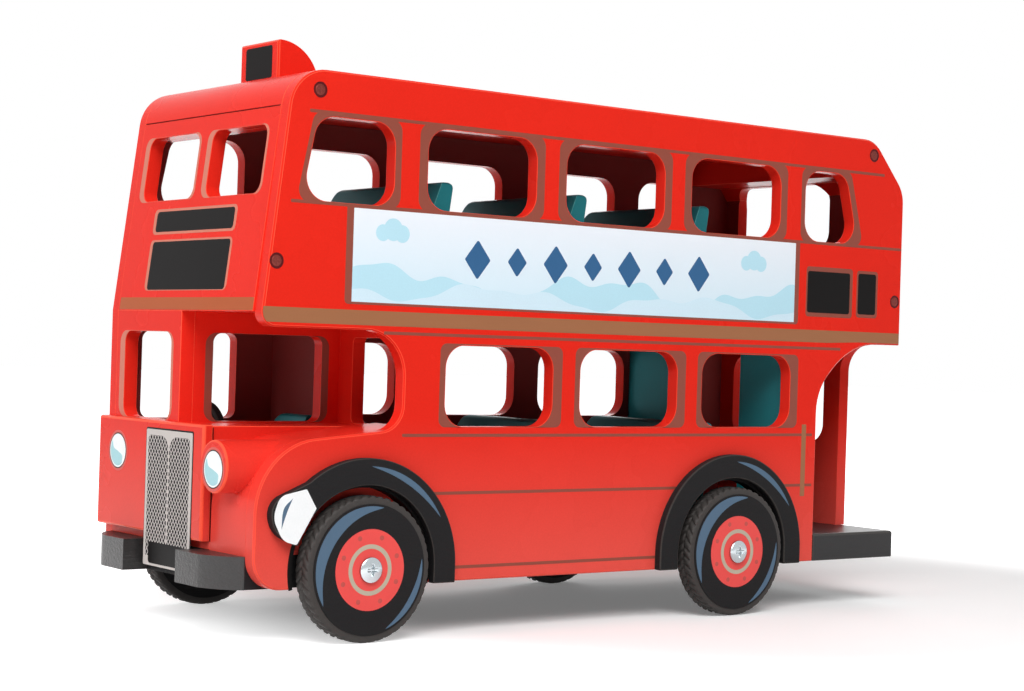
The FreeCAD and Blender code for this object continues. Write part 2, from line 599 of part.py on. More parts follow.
def wheel_arch(axle_x, lobe):
    """Half ring with straight legs; a front one has a lobe in place of its front leg."""
    low, high = HALF, HALF + ARCH_THICK
    inside = TYRE_R + ARCH_GAP
    outside = inside + ARCH_BAND
    arch = rod_y(axle_x, TYRE_R, outside, low, high).fuse(
        box((axle_x - outside, axle_x + outside), (low, high), (PANEL_Z, TYRE_R)))
    if lobe:
        ahead = (axle_x + LOBE_TOP[0] - LOBE_ROOT[0], axle_x + 2 * outside)
        arch = arch.cut(box(ahead, (low, high), (0, TYRE_R + sum(LOBE_HEIGHTS) / 2)))
        arch = arch.fuse(arch_lobe(axle_x, low, high))
    wheel_room = rod_y(axle_x, TYRE_R, inside, low, high).fuse(
        box((axle_x - inside, axle_x + inside), (low, high), (0, TYRE_R)))
    arch = arch.cut(wheel_room).common(box((0, 2 * BODY_FRONT), (low, high), (PANEL_Z, ROOF_Z)))
    return arch.removeSplitter()


# ---- The whole bus ----------------------------------------------------------------------------
def all_parts():
    """Every node's name and shape, in the drawing's coordinates."""
    parts = {
        "side_panel_near": side_panel_near(), "side_panel_off": side_panel_off(),
        "front_header": front_header(), "rear_header": rear_header(), "roof_board": roof_board(),
        "upper_front_panel": upper_front_panel(), "upper_rear_panel": upper_rear_panel(),
        "upper_deck_floor": upper_deck_floor(), "base_board": base_board(),
        "rear_platform": rear_platform(), "rear_lower_panel": rear_lower_panel(),
        "saloon_bulkhead": saloon_bulkhead(), "cab_front_panel": cab_front_panel(),
        "cab_side_wall": cab_side_wall(), "bonnet_block": bonnet_block(),
        "wing_block": wing_block(), "headlamp_pod": headlamp_pod(), "apron_board": apron_board(),
        "grille_plate": grille_plate(), "sign_box": sign_box(), "driver_seat": driver_seat(),
        "steering_wheel": steering_wheel(), "steering_column": steering_column(),
        "bumper_near": bumper(), "bumper_off": mirrored(bumper()),
        "saloon_partition_near": saloon_partition(),
        "saloon_partition_off": mirrored(saloon_partition()),
    }
    width = 2 * (INNER - SEAT_SIDE_GAP)
    for i, share in enumerate(UPPER_SEATS_AT, 1):
        parts["upper_seat_%d" % i] = seat(share * BODY_FRONT, DECK_Z + BOARD, width, 0)
    for i, share in enumerate(LOWER_SEATS_AT, 1):
        parts["lower_seat_%d" % i] = seat(share * BODY_FRONT, BASE_TOP, width, 0)
    for end, x in (("front", FRONT_AXLE_X), ("rear", REAR_AXLE_X)):
        makers = {"wheel_disc": wheel_disc(x), "tyre": tyre(x),
                  "wheel_arch": wheel_arch(x, end == "front")}
        for name, shape in makers.items():
            parts["%s_%s_near" % (name, end)] = shape
            parts["%s_%s_off" % (name, end)] = mirrored(shape)
    screws = Part.makeCompound([wheel_screw(x) for x in (FRONT_AXLE_X, REAR_AXLE_X)])
    parts["wheel_screws_near"] = screws
    parts["wheel_screws_off"] = mirrored(screws)
    return parts


def main():
    os.makedirs("parts", exist_ok=True)
    parts = all_parts()
    whole = FreeCAD.BoundBox()
    for shape in parts.values():
        whole.add(shape.optimalBoundingBox(False))
    home = Vector(-(whole.XMin + whole.XMax) / 2, -(whole.YMin + whole.YMax) / 2, -whole.ZMin)
    for name, shape in parts.items():
        shape.translate(home)
        shape.exportStep("parts/%s.step" % name)
    print("size %.2f x %.2f x %.2f mm, %d nodes" % (whole.XLength, whole.YLength, whole.ZLength,
                                                    len(parts)))


main()
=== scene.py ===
"""Finish of a wooden toy double decker bus: soft painted boards, printed lines, window frames,
signs and lamps, rubber tyres and steel screws, and a pale studio to look at it in.

Lengths in the tables are millimetres: x from the rear end of the bus, y from the centre line
with the nearside positive, z from the floor. Everything is placed in metres, in the same space
as the construction model."""

import json
import math

import bmesh
import bpy
import numpy as np
from bpy.props import FloatProperty, FloatVectorProperty, IntProperty, PointerProperty
from mathutils import Matrix, Vector


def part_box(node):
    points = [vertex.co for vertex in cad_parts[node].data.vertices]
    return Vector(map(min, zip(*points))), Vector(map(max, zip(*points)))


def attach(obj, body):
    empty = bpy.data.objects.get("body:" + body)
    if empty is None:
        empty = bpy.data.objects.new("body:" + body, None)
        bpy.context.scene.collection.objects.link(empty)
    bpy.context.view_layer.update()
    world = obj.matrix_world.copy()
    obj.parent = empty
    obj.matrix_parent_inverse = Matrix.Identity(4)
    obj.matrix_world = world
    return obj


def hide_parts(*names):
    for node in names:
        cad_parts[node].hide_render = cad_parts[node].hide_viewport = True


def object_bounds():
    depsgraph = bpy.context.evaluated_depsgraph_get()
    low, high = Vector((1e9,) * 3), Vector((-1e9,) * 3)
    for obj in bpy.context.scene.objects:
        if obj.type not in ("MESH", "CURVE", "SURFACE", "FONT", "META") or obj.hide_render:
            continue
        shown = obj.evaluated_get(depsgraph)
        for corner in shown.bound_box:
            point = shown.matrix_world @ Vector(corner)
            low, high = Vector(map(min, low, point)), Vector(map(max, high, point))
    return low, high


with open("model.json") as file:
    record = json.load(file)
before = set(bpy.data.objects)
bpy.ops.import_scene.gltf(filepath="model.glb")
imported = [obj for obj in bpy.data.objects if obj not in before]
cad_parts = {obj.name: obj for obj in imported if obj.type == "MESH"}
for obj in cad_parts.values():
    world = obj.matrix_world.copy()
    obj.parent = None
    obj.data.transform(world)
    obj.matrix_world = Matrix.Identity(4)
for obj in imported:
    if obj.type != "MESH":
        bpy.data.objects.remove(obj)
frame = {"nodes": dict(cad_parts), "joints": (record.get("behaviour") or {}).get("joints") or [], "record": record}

bl_info = {
    "name": "Toy Double Decker Bus",
    "version": (1, 0, 0),
    "blender": (4, 5, 0),
    "location": "View3D > Sidebar > Toy Bus",
    "description": "Paints and prints a wooden bus, fits its tyres and screws, and lights it",
    "category": "Object",
}

MM = 0.001
LOW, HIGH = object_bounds()
REAR = LOW.x
SIDES = (("near", 1), ("off", -1))
WHEELS = [(end + "_" + side, sign) for end in ("front", "rear") for side, sign in SIDES]
PIVOT = {j["child"]: Vector(j["pos_m"]) for j in frame["joints"]}


def srgb(red, green, blue):
    """Linear colour from the usual 0 to 255 values: ((c + 0.055) / 1.055) ** 2.4 above the toe."""
    return tuple(c / 12.92 if c <= 0.04045 else ((c + 0.055) / 1.055) ** 2.4
                 for c in (red / 255, green / 255, blue / 255))


# ---- Settings -------------------------------------------------------------------------------
def colour(name, description, *rgb):
    return FloatVectorProperty(name=name, description=description, subtype="COLOR", size=3,
                               min=0.0, max=1.0, default=srgb(*rgb))


def length(name, description, millimetres):
    return FloatProperty(name=name, description=description, subtype="DISTANCE", unit="LENGTH",
                         min=0.0, default=millimetres * MM)


def power(name, description, watts):
    return FloatProperty(name=name, description=description, subtype="POWER", unit="POWER",
                         min=0.0, default=watts)


def strength(name, description, value):
    return FloatProperty(name=name, description=description, min=0.0, max=4.0, default=value)


class ToyBusPaint(bpy.types.PropertyGroup):
    red: colour("Body red", "Paint of the panels, roof and bonnet", 230, 43, 30)
    # Painted light: the body red as lit by light bounced up from the floor, towards its foot.
    red_floor_bounce: colour("Skirt red", "The same paint, paler towards the foot of the bus", 230, 84, 74)
    # Painted shade: the red as it looks in the shade inside the bus.
    red_inside_shade: colour("Inside red", "Thin dull red on the inner faces of the panels", 142, 62, 60)
    # Thin paint along the red edges, together with a painted highlight on them.
    red_edge_wear_highlight: colour("Body edge", "Where the red paint is thin along the edges", 250, 88, 64)
    # Painted shade in the seam under the front header.
    header_shade: colour("Header seam", "Line under the front header", 112, 14, 14)
    # Painted shade in the seam between the wing and the apron.
    seam_shade: colour("Wing seam", "Line between the wing and the apron", 46, 12, 12)
    black: colour("Black", "Paint of the base, arches and wheel discs", 32, 31, 32)
    # Thin paint along the black edges, together with a painted highlight on them.
    black_edge_wear_highlight: colour("Black edge", "Where the black paint is thin along the edges", 58, 55, 53)
    charcoal: colour("Charcoal", "Thin black on the bumpers, with the grain showing", 42, 40, 40)
    # Painted shade on the rims of the wheel openings, darker than the black paint.
    bay: colour("Wheel bays", "Black rims of the wheel openings", 14, 12, 12)
    teal: colour("Teal", "Paint of the benches and the rear partitions", 44, 138, 146)
    # Painted highlight on the edges of the benches.
    teal_edge_highlight: colour("Teal edge", "Edges of the benches", 92, 172, 172)
    grille: colour("Grille silver", "Paint of the radiator plate", 204, 197, 193)
    rubber: colour("Tyre rubber", "Rubber of the tyres", 52, 48, 46)
    steel: colour("Screw steel", "Plated steel of the wheel screws", 190, 198, 202)
    dark_screw: colour("Panel screw", "Dark plating of the small screws", 118, 52, 46)
    screw_shade: colour("Screw shade", "Shade round the small screws", 84, 10, 12)


class ToyBusInk(bpy.types.PropertyGroup):
    bronze: colour("Bronze", "Broad bands along the sides", 157, 103, 69)
    front_bronze: colour("Front bronze", "Broad band across the front", 172, 82, 36)
    line: colour("Line brown", "Thin lines and window frames on the sides", 142, 72, 58)
    pale_line: colour("Pale line", "Frames round the front signs and windows", 206, 120, 100)
    sign: colour("Sign black", "Blank signs", 22, 20, 20)
    shine: colour("Shine blue", "Painted shine on wheels and arches", 82, 107, 130)
    lamp_white: colour("White", "Lamps and the noses of the front arches", 246, 249, 250)
    lamp_blue: colour("Lamp blue", "Shaded half of the lamps", 168, 214, 222)
    lamp_halo: colour("Lamp halo", "Faint ring round the lamps", 214, 92, 84)
    hub: colour("Hub red", "Printed hub of the wheels", 236, 82, 78)
    hub_ring: colour("Hub ring", "Ring printed on the hub", 188, 178, 158)
    hub_dots: colour("Hub dots", "Eight dots printed on the hub", 196, 84, 78)
    pale_top: colour("Panel top", "Upper part of the sides' pale panel", 238, 242, 249)
    pale_ground: colour("Panel foot", "Lower part of the sides' pale panel", 210, 234, 246)
    pale_shapes: colour("Panel hills", "Soft shapes along the pale panel", 186, 226, 240)
    panel_blue: colour("Panel blue", "Diamonds on the pale panel", 50, 96, 140)
    mesh_black: colour("Mesh black", "Ground behind the radiator mesh", 40, 38, 40)
    height: length("Ink height", "Thickness of one printed layer", 0.06)
    line_width: length("Line width", "Thin lines along the sides", 1.3)


class ToyBusWheels(bpy.types.PropertyGroup):
    lugs: IntProperty(name="Lugs", description="Tread lugs round a tyre", min=8, default=46)
    lug_depth: length("Lug depth", "Depth of the tread's grooves", 0.75)
    hub_radius: length("Hub radius", "Printed hub", 16.4)
    shine_radius: length("Shine radius", "Outside of the painted shine", 25.5)


class ToyBusStudio(bpy.types.PropertyGroup):
    key_power: power("Key light", "Power of the large soft light", 34.0)
    front_power: power("Front light", "Power of the light on the front", 9.4)
    back_power: power("Back light", "Power of the light from behind", 11.0)
    room: strength("Room light", "Strength of the white surroundings", 0.07)
    # Painted light: the floor's glow is only seen, and lights nothing.
    floor_glow: strength("Floor glow", "Light that the far floor adds to what is seen", 1.0)
    lens: FloatProperty(name="Lens", description="Focal length of the camera",
                        subtype="DISTANCE_CAMERA", min=1.0, default=71.02)


def settings(group):
    return getattr(bpy.context.scene, "toy_bus_" + group)


# ---- Outlines, as arrays of points in a plane -----------------------------------------------
def rounded(corners, radius, grow=0.0, steps=9):
    """Outline whose corners are arcs: each arc turns from one edge's direction to the next about
    a centre one radius inside both edges, and grow pushes every point out along its normal."""
    p = np.asarray(corners, float)
    r = np.broadcast_to(np.asarray(radius, float), len(p))
    into = p - np.roll(p, 1, 0)
    into /= np.linalg.norm(into, axis=1, keepdims=True)
    away = np.roll(into, -1, 0)
    cross = into[:, 0] * away[:, 1] - into[:, 1] * away[:, 0]
    turn = np.arctan2(cross, (into * away).sum(1))
    left = np.stack([-into[:, 1], into[:, 0]], 1)
    centre = p - into * (r * np.tan(turn / 2))[:, None] + left * r[:, None]
    start = np.arctan2(-left[:, 1], -left[:, 0])
    angle = start[:, None] + turn[:, None] * np.linspace(0, 1, steps)
    spokes = np.stack([np.cos(angle), np.sin(angle)], 2)
    return (centre[:, None, :] + (r + grow)[:, None, None] * spokes).reshape(-1, 2)


def rectangle(u0, u1, v0, v1):
    return [(u0, v0), (u1, v0), (u1, v1), (u0, v1)]


def rounded_box(sides, radius, grow=0.0):
    return rounded(rectangle(*sides), radius, grow)


def wider(sides, before, after, below, above):
    """The sides of a rectangle, each moved out by its own length."""
    u0, u1, v0, v1 = sides
    return u0 - before, u1 + after, v0 - below, v1 + above


def arc(radius, start, end, count, squash=0.0):
    """Points at angles from start to end in degrees; squash draws the middle of the arc towards
    the centre by that much, as sin(pi * t) ** 0.75."""
    t = np.linspace(0, 1, count)
    angle = np.radians(start + (end - start) * t)
    r = radius - squash * np.sin(np.pi * t).clip(0) ** 0.75
    return np.stack([r * np.cos(angle), r * np.sin(angle)], 1)


def circle(count):
    return arc(1.0, 0, 360, count + 1)[:-1]


def smooth_curve(points, count):
    """Curve through a few points: a cubic Hermite spline with Catmull-Rom slopes, read at equal
    steps of its parameter."""
    p = np.asarray(points, float)
    slope = np.gradient(p, axis=0)
    s = np.linspace(0, len(p) - 1, count)
    i = np.minimum(s.astype(int), len(p) - 2)
    t = (s - i)[:, None]
    return ((2 * t**3 - 3 * t**2 + 1) * p[i] + (t**3 - 2 * t**2 + t) * slope[i]
            + (3 * t**2 - 2 * t**3) * p[i + 1] + (t**3 - t**2) * slope[i + 1])


# ---- Planes that the prints lie on ----------------------------------------------------------
# Degrees by which the upper front leans back.
LEAN = 7.1


class Surface:
    """A flat place: point(u, v, h) = origin + u * across + v * up + h * out, with u and v in
    millimetres and h in metres."""

    def __init__(self, origin, across, up, out):
        self.origin, self.across = np.array(origin), np.array(across) * MM
        self.up, self.out = np.array(up) * MM, np.array(out)

    def points(self, flat, height):
        return (self.origin + flat[:, :1] * self.across + flat[:, 1:] * self.up
                + height * self.out)


def facing_side(sign, y, x=REAR, z=0.0):
    """Upright plane at y, with u along the bus from x and v up from z."""
    return Surface((x, y, z), (1, 0, 0), (0, 0, 1), (0, sign, 0))


def side_surface(sign, x=REAR, z=0.0):
    return facing_side(sign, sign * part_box("side_panel_near")[1].y, x, z)


def facing_front(x, y=0.0):
    """Upright plane at x, with u towards the nearside from y and v up from the floor."""
    return Surface((x, y, 0), (0, 1, 0), (0, 0, 1), (1, 0, 0))


def leaning_front():
    """The upper front: v is still the height over the floor, and x falls back as it rises."""
    low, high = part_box("upper_front_panel")
    lean = math.radians(LEAN)
    foot = high.x + low.z * math.tan(lean)
    return Surface((foot, 0, 0), (0, 1, 0), (-math.tan(lean), 0, 1),
                   (math.cos(lean), 0, math.sin(lean)))


def wheel_surface(kind, wheel, sign):
    """Outer face of a wheel's disc or arch, with u and v from the axle."""
    pivot = PIVOT["wheel_" + wheel]
    return facing_side(sign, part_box(kind + wheel)[sign > 0].y, pivot.x, pivot.z)


# ---- Solids and pieces ----------------------------------------------------------------------
def slab(one, two, surface, low, high, closed=False):
    """Thin solid between two curves of equal count: the section one-low, two-low, two-high,
    one-high is carried along them, and either meets itself or is capped at both ends."""
    n = len(one)
    points = np.concatenate([surface.points(c, h) for c, h in
                             ((one, low), (two, low), (two, high), (one, high))])
    i = np.arange(n if closed else n - 1)
    j = (i + 1) % n
    faces = np.concatenate([np.stack([k * n + i, k * n + j, (k + 1) % 4 * n + j,
                                      (k + 1) % 4 * n + i], 1) for k in range(4)])
    if not closed:
        ends = np.arange(4) * n
        faces = np.concatenate([faces, [ends, ends + n - 1]])
    return points, faces


def ring(inner, outer, surface, low, high):
    return slab(inner, outer, surface, low, high, True)


def filled(outline, surface, low, high):
    """Fills a convex outline: its first half against its second half, read backwards."""
    half = len(outline) // 2
    return slab(outline[:half], outline[::-1][:half], surface, low, high)


def disc(radius, surface, low, high, middle=(0, 0), count=48):
    return filled(circle(count) * radius + middle, surface, low, high)


def crescent(radius, start, end, count, squash, surface, height):
    """Between an arc and the same arc with its middle drawn in."""
    return slab(arc(radius, start, end, count), arc(radius, start, end, count, squash), surface,
                0, height)


def revolved(radius, height, centre, sign, count, cut, first_cut=0):
    """Surface of revolution about an axle: (r cos a, h, r sin a), with a pole at each end of the
    profile. From the row first_cut on, cut(radius, angle) is taken off the height."""
    angle = np.arange(count) * 2 * math.pi / count
    r, h = np.asarray(radius, float)[1:-1, None], np.asarray(height, float)
    row = np.arange(1, len(h) - 1)[:, None]
    rise = h[1:-1, None] - np.where(row >= first_cut, cut(r, angle[None, :]), 0.0)
    rings = np.stack([centre.x + r * np.cos(angle), centre.y + sign * rise,
                      centre.z + r * np.sin(angle)], 2)
    rows = len(rings)
    poles = [(centre.x, centre.y + sign * y, centre.z) for y in (h[0], h[-1] - cut(0.0, 0.0))]
    points = np.concatenate([rings.reshape(-1, 3), poles])
    i = np.arange(count)
    j = (i + 1) % count
    k = np.arange(rows - 1)[:, None] * count
    quads = np.stack([k + i, k + j, k + count + j, k + count + i], 2).reshape(-1, 4)
    end = (rows - 1) * count
    fans = np.concatenate([np.stack([j, i, i * 0 + rows * count], 1),
                           np.stack([end + i, end + j, i * 0 + rows * count + 1], 1)])
    return points, quads, fans


def outward(points, *faces):
    """Turns every face round when the solid's signed volume, the sum of a . (b x c) / 6 over
    its triangles, comes out negative."""
    volume = 0.0
    for f in faces:
        a = points[f[:, 0]]
        for k in range(1, f.shape[1] - 1):
            volume += (a * np.cross(points[f[:, k]], points[f[:, k + 1]])).sum()
    return faces if volume > 0 else [f[:, ::-1] for f in faces]


def add_piece(name, solids, material, body="bus_body", smooth=None):
    """One object from several closed solids. smooth is the angle, in degrees, under which edges
    are shaded round."""
    points, faces, start = [], [], 0
    for solid in solids:
        for f in outward(*solid):
            faces += (f + start).tolist()
        points.append(solid[0])
        start += len(solid[0])
    mesh = bpy.data.meshes.new(name)
    mesh.from_pydata(np.concatenate(points).tolist(), [], faces)
    mesh.update()
    mesh.materials.append(material)
    if smooth is not None:
        shade_round(mesh, smooth)
    return new_piece(name, mesh, body)


def shade_round(mesh, angle):
    mesh.polygons.foreach_set("use_smooth", [True] * len(mesh.polygons))
    mesh.set_sharp_from_angle(angle=math.radians(angle))


def new_piece(name, mesh, body):
    piece = bpy.data.objects.new(name, mesh)
    bpy.context.scene.collection.objects.link(piece)
    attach(piece, body)
    return piece


def round_edges(piece, width, segments, angle):
    """Bevels every edge that turns by more than the angle, in degrees."""
    edge = piece.modifiers.new("rounded_edges", "BEVEL")
    edge.width, edge.segments, edge.harden_normals = width * MM, segments, True
    edge.limit_method, edge.angle_limit = "ANGLE", math.radians(angle)
    return edge


# ---- Material nodes -------------------------------------------------------------------------
def node(tree, kind, sockets=None, **properties):
    """Adds a node, and sets its properties and then its input sockets."""
    made = tree.nodes.new(kind)
    for key, value in properties.items():
        setattr(made, key, value)
    preset(made, sockets or {})
    return made


def preset(made, sockets):
    for label, value in sockets.items():
        made.inputs[label].default_value = value


def wire(tree, *pairs):
    for source, target in pairs:
        tree.links.new(source, target)


def maths(tree, operation, a, b):
    made = node(tree, "ShaderNodeMath", operation=operation)
    for socket, value in zip(made.inputs, (a, b)):
        if isinstance(value, bpy.types.NodeSocket):
            tree.links.new(value, socket)
        else:
            socket.default_value = value
    return made.outputs[0]


def swing(tree, pattern, reach):
    """How far a pattern is from its middle value, times its reach."""
    return maths(tree, "MULTIPLY", maths(tree, "SUBTRACT", pattern, 0.5), reach)


def mix_colours(tree, share, a, b):
    made = node(tree, "ShaderNodeMix", data_type="RGBA")
    tree.links.new(share, made.inputs[0])
    for socket, value in ((made.inputs[6], a), (made.inputs[7], b)):
        if isinstance(value, bpy.types.NodeSocket):
            tree.links.new(value, socket)
        else:
            socket.default_value = (*value, 1.0)
    return made.outputs[2]


def noise(tree, vector, scale, detail=2.0, roughness=0.5):
    made = node(tree, "ShaderNodeTexNoise",
                {"Scale": scale, "Detail": detail, "Roughness": roughness})
    tree.links.new(vector, made.inputs["Vector"])
    return made.outputs["Fac"]


def object_place(tree):
    return node(tree, "ShaderNodeTexCoord").outputs["Object"]


def along_axis(tree, vector, axis, start, end):
    """0 to 1 as one coordinate of the vector goes from start to end."""
    split = node(tree, "ShaderNodeSeparateXYZ")
    ramp = node(tree, "ShaderNodeMapRange", {"From Min": start, "From Max": end})
    wire(tree, (vector, split.inputs[0]), (split.outputs[axis], ramp.inputs["Value"]))
    return ramp.outputs["Result"]


# ---- Paints and inks ------------------------------------------------------------------------
# Heights in metres between which the paint turns into its low colour, a painted light bounced
# up from the floor, and scales of the noises.
FLOOR_BOUNCE_SKIRT = (0.09, 0.025)
BROAD, FINE, GRAIN = 22.0, 1300.0, (60.0, 700.0, 700.0)
ROUGHNESS_SWING, FINE_HEIGHT, BUMP_DISTANCE = 0.18, 0.35, 0.0004

USUAL = dict(mottle=0.12, speckle=0.10, grain=0.5, gloss=0.42, bump=0.12, metallic=0.0,
             specular=0.2, tint=(1.0, 1.0, 1.0))
RED = dict(mottle=0.10, speckle=0.12, grain=0.35, gloss=0.26, bump=0.10, specular=0.13,
           tint=(1.0, 0.10, 0.06))
DULL_RED = dict(RED, gloss=0.5, specular=0.15)
BLACK = dict(mottle=0.22, speckle=0.5, grain=1.6, gloss=0.6, bump=0.45, specular=0.1)
WORN_BLACK = dict(BLACK, gloss=0.32, specular=0.3, bump=0.2)
TEAL = dict(grain=0.4, speckle=0.12, gloss=0.36, specular=0.3, tint=(0.2, 0.9, 1.0))
SILVER = dict(mottle=0.06, gloss=0.5, specular=0.1)
SEAM = dict(gloss=0.8, specular=0.05)
INK = dict(mottle=0.07, speckle=0.08, grain=0.3, gloss=0.4, bump=0.06)

# Each finish: the setting of its colour and its values. low is the setting of the colour that it
# turns into down the skirt of the bus, a painted light bounced up from the floor.
FINISHES = {
    "brushed_red": ("red", dict(RED, low="red_floor_bounce")),
    "brushed_red_edge": ("red_edge_wear_highlight", RED),
    "inside_red": ("red_inside_shade", DULL_RED),
    "bulkhead_red": ("red", DULL_RED),
    "roof_red": ("red", DULL_RED),
    "roof_red_edge": ("red_edge_wear_highlight", DULL_RED),
    "header_shade": ("header_shade", SEAM),
    "seam_shade": ("seam_shade", SEAM),
    "brushed_black": ("black", BLACK),
    "brushed_black_edge": ("black_edge_wear_highlight", BLACK),
    "wheel_bay_black": ("bay", BLACK),
    "platform_black": ("black", WORN_BLACK),
    "platform_black_edge": ("black_edge_wear_highlight", WORN_BLACK),
    "brushed_charcoal": ("charcoal", dict(mottle=0.3, speckle=0.8, grain=1.6, gloss=0.34,
                                          bump=0.5, specular=0.5)),
    "brushed_teal": ("teal", TEAL),
    "brushed_teal_edge": ("teal_edge_highlight", TEAL),
    "brushed_silver": ("grille", SILVER),
    "mesh_silver": ("grille", SILVER),
    "moulded_rubber": ("rubber", dict(mottle=0.35, speckle=0.5, grain=0.3, gloss=0.62, bump=0.35,
                                      specular=0.35)),
    "plated_steel": ("steel", dict(mottle=0.05, speckle=0.1, grain=0.2, gloss=0.22, bump=0.05,
                                   metallic=1.0)),
    "panel_screw": ("dark_screw", dict(mottle=0.3, speckle=0.3, gloss=0.35, bump=0.2,
                                       metallic=0.6)),
    "panel_screw_shade": ("screw_shade", dict(mottle=0.2, gloss=0.5)),
}
INKS = {"bronze": dict(gloss=0.34), "front_bronze": dict(gloss=0.34),
        "sign": dict(gloss=0.35, specular=0.06), "mesh_black": dict(gloss=0.6, specular=0.05),
        "lamp_white": dict(gloss=0.2), "lamp_blue": dict(gloss=0.2), "shine": dict(gloss=0.45)}


def paint_group():
    """Brushed paint on a board. The colour turns into the low colour down the skirt of the bus, a
    painted light bounced up from the floor. Broad noise varies its tone, fine noise speckles it, and
    noise drawn out along the bus gives the grain that shows through; the last two are the bump."""
    tree = bpy.data.node_groups.new("brushed_paint", "ShaderNodeTree")
    for direction, sockets in (
            ("INPUT", (("Color", "Color"), ("Low Color", "Color"), ("Vector", "Vector"),
                       ("Mottle", "Float"), ("Speckle", "Float"), ("Grain", "Float"),
                       ("Gloss", "Float"))),
            ("OUTPUT", (("Color", "Color"), ("Roughness", "Float"), ("Height", "Float")))):
        for label, kind in sockets:
            tree.interface.new_socket(label, in_out=direction, socket_type="NodeSocket" + kind)
    given, result = node(tree, "NodeGroupInput").outputs, node(tree, "NodeGroupOutput")
    place = given["Vector"]
    broad, fine = noise(tree, place, BROAD, 3.0), noise(tree, place, FINE)
    drawn_out = node(tree, "ShaderNodeMapping", {"Scale": GRAIN})
    tree.links.new(place, drawn_out.inputs["Vector"])
    grain = noise(tree, drawn_out.outputs["Vector"], 1.0, 4.0, 0.6)
    shade = maths(tree, "ADD", swing(tree, broad, given["Mottle"]),
                  swing(tree, fine, given["Speckle"]))
    base = mix_colours(tree, along_axis(tree, place, "Z", *FLOOR_BOUNCE_SKIRT), given["Color"],
                       given["Low Color"])
    shaded = node(tree, "ShaderNodeVectorMath", operation="SCALE")
    rough = maths(tree, "ADD", given["Gloss"], swing(tree, broad, ROUGHNESS_SWING))
    height = maths(tree, "ADD", maths(tree, "MULTIPLY", grain, given["Grain"]),
                   maths(tree, "MULTIPLY", fine, FINE_HEIGHT))
    wire(tree, (base, shaded.inputs[0]), (maths(tree, "ADD", shade, 1.0), shaded.inputs["Scale"]),
         (shaded.outputs[0], result.inputs["Color"]), (rough, result.inputs["Roughness"]),
         (height, result.inputs["Height"]))
    return tree


def plain_material(name):
    material = bpy.data.materials.new(name)
    material.use_nodes = True
    tree = material.node_tree
    return material, tree, tree.nodes["Principled BSDF"]


def painted(name, rgb, low, values):
    """Material from the shared paint group with its own colours and values, made only once."""
    if name in bpy.data.materials:
        return bpy.data.materials[name]
    value = {**USUAL, **values}
    material, tree, shader = plain_material(name)
    paint = node(tree, "ShaderNodeGroup", {
        "Color": (*rgb, 1.0), "Low Color": (*low, 1.0),
        **{key.title(): value[key] for key in ("mottle", "speckle", "grain", "gloss")}},
        node_tree=bpy.data.node_groups.get("brushed_paint") or paint_group())
    dent = node(tree, "ShaderNodeBump", {"Strength": value["bump"], "Distance": BUMP_DISTANCE})
    wire(tree, (object_place(tree), paint.inputs["Vector"]),
         (paint.outputs["Color"], shader.inputs["Base Color"]),
         (paint.outputs["Roughness"], shader.inputs["Roughness"]),
         (paint.outputs["Height"], dent.inputs["Height"]),
         (dent.outputs["Normal"], shader.inputs["Normal"]))
    preset(shader, {"Metallic": value["metallic"], "Specular IOR Level": value["specular"],
                    "Specular Tint": (*value["tint"], 1.0)})
    return material


def finish(name):
    rgb, values = FINISHES[name]
    paint = settings("paint")
    return painted(name, getattr(paint, rgb), getattr(paint, values.get("low", rgb)), values)


def ink(name):
    rgb = getattr(settings("ink"), name)
    return painted("ink_" + name, rgb, rgb, {**INK, **INKS.get(name, {})})


# ---- Painted boards -------------------------------------------------------------------------
# Finishes of a board by its name, or else by its slot: faces, edges with a painted highlight, the
# painted shade of the wheel bays, and the painted shade of the inner faces.
BOARD_PAINTS = {
    "red_paint": ("brushed_red", "brushed_red_edge", "wheel_bay_black", "inside_red"),
    "saloon_bulkhead": ("bulkhead_red", "brushed_red_edge"),
    "roof_board": ("roof_red", "roof_red_edge"),
    "black_paint": ("brushed_black", "brushed_black_edge"),
    "teal_paint": ("brushed_teal", "brushed_teal_edge"),
    "rear_platform": ("platform_black", "platform_black_edge"),
}
OWN_PIECES = ("bumper_near", "bumper_off", "grille_plate")
# Width of the rounded edges, by the start of a board's name.
BEVELS = {"side_panel": 0.14, "roof_board": 0.3, "upper_deck_floor": 0.3, "wheel_arch": 0.6,
          "headlamp_pod": 0.8, "steering_wheel": 1.0, "wing_block": 0.3, "bonnet_block": 0.4,
          "apron_board": 0.5, "rear_platform": 0.6}
BEVEL_USUAL = 0.22
# Millimetres within which points are merged, and the angles, in degrees, under which faces are
# joined, edges shaded round and edges left without a bevel.
MERGE, FLAT_ANGLE, SMOOTH_ANGLE, BEVEL_ANGLE = 0.002, 0.6, 28, 32
# Axis and direction that the inner face of a panel looks along.
INNER_FACES = {"side_panel_near": (1, -1), "side_panel_off": (1, 1), "upper_front_panel": (0, -1),
               "upper_rear_panel": (0, 1), "cab_front_panel": (0, -1), "cab_side_wall": (1, -1)}
BAY_SHADE_MATERIAL, INNER_SHADE_MATERIAL = 2, 3
# A normal's share along an axis above which a face looks that way, and below which it doesn't.
LOOKING, NOT_LOOKING = 0.9, 0.1
# How far from an axle, along the bus and across it, a face belongs to a wheel's bay.
BAY_RADIUS, BAY_DEPTH = 33, 12
# Places in metres between which the wall of the cab turns from the inside red, a painted shade,
# to bright red.
SHADED_SIDE = (-0.006, -0.002)


def shade_bulkhead_offside():
    """Turns the red of the cab's wall into the inside red, a painted shade, on its offside."""
    paint, tree = settings("paint"), finish("bulkhead_red").node_tree
    shared = next(n for n in tree.nodes if n.type == "GROUP")
    side = along_axis(tree, object_place(tree), "Y", *SHADED_SIDE)
    tone = mix_colours(tree, side, paint.red_inside_shade, paint.red)
    wire(tree, (tone, shared.inputs["Color"]), (tone, shared.inputs["Low Color"]))


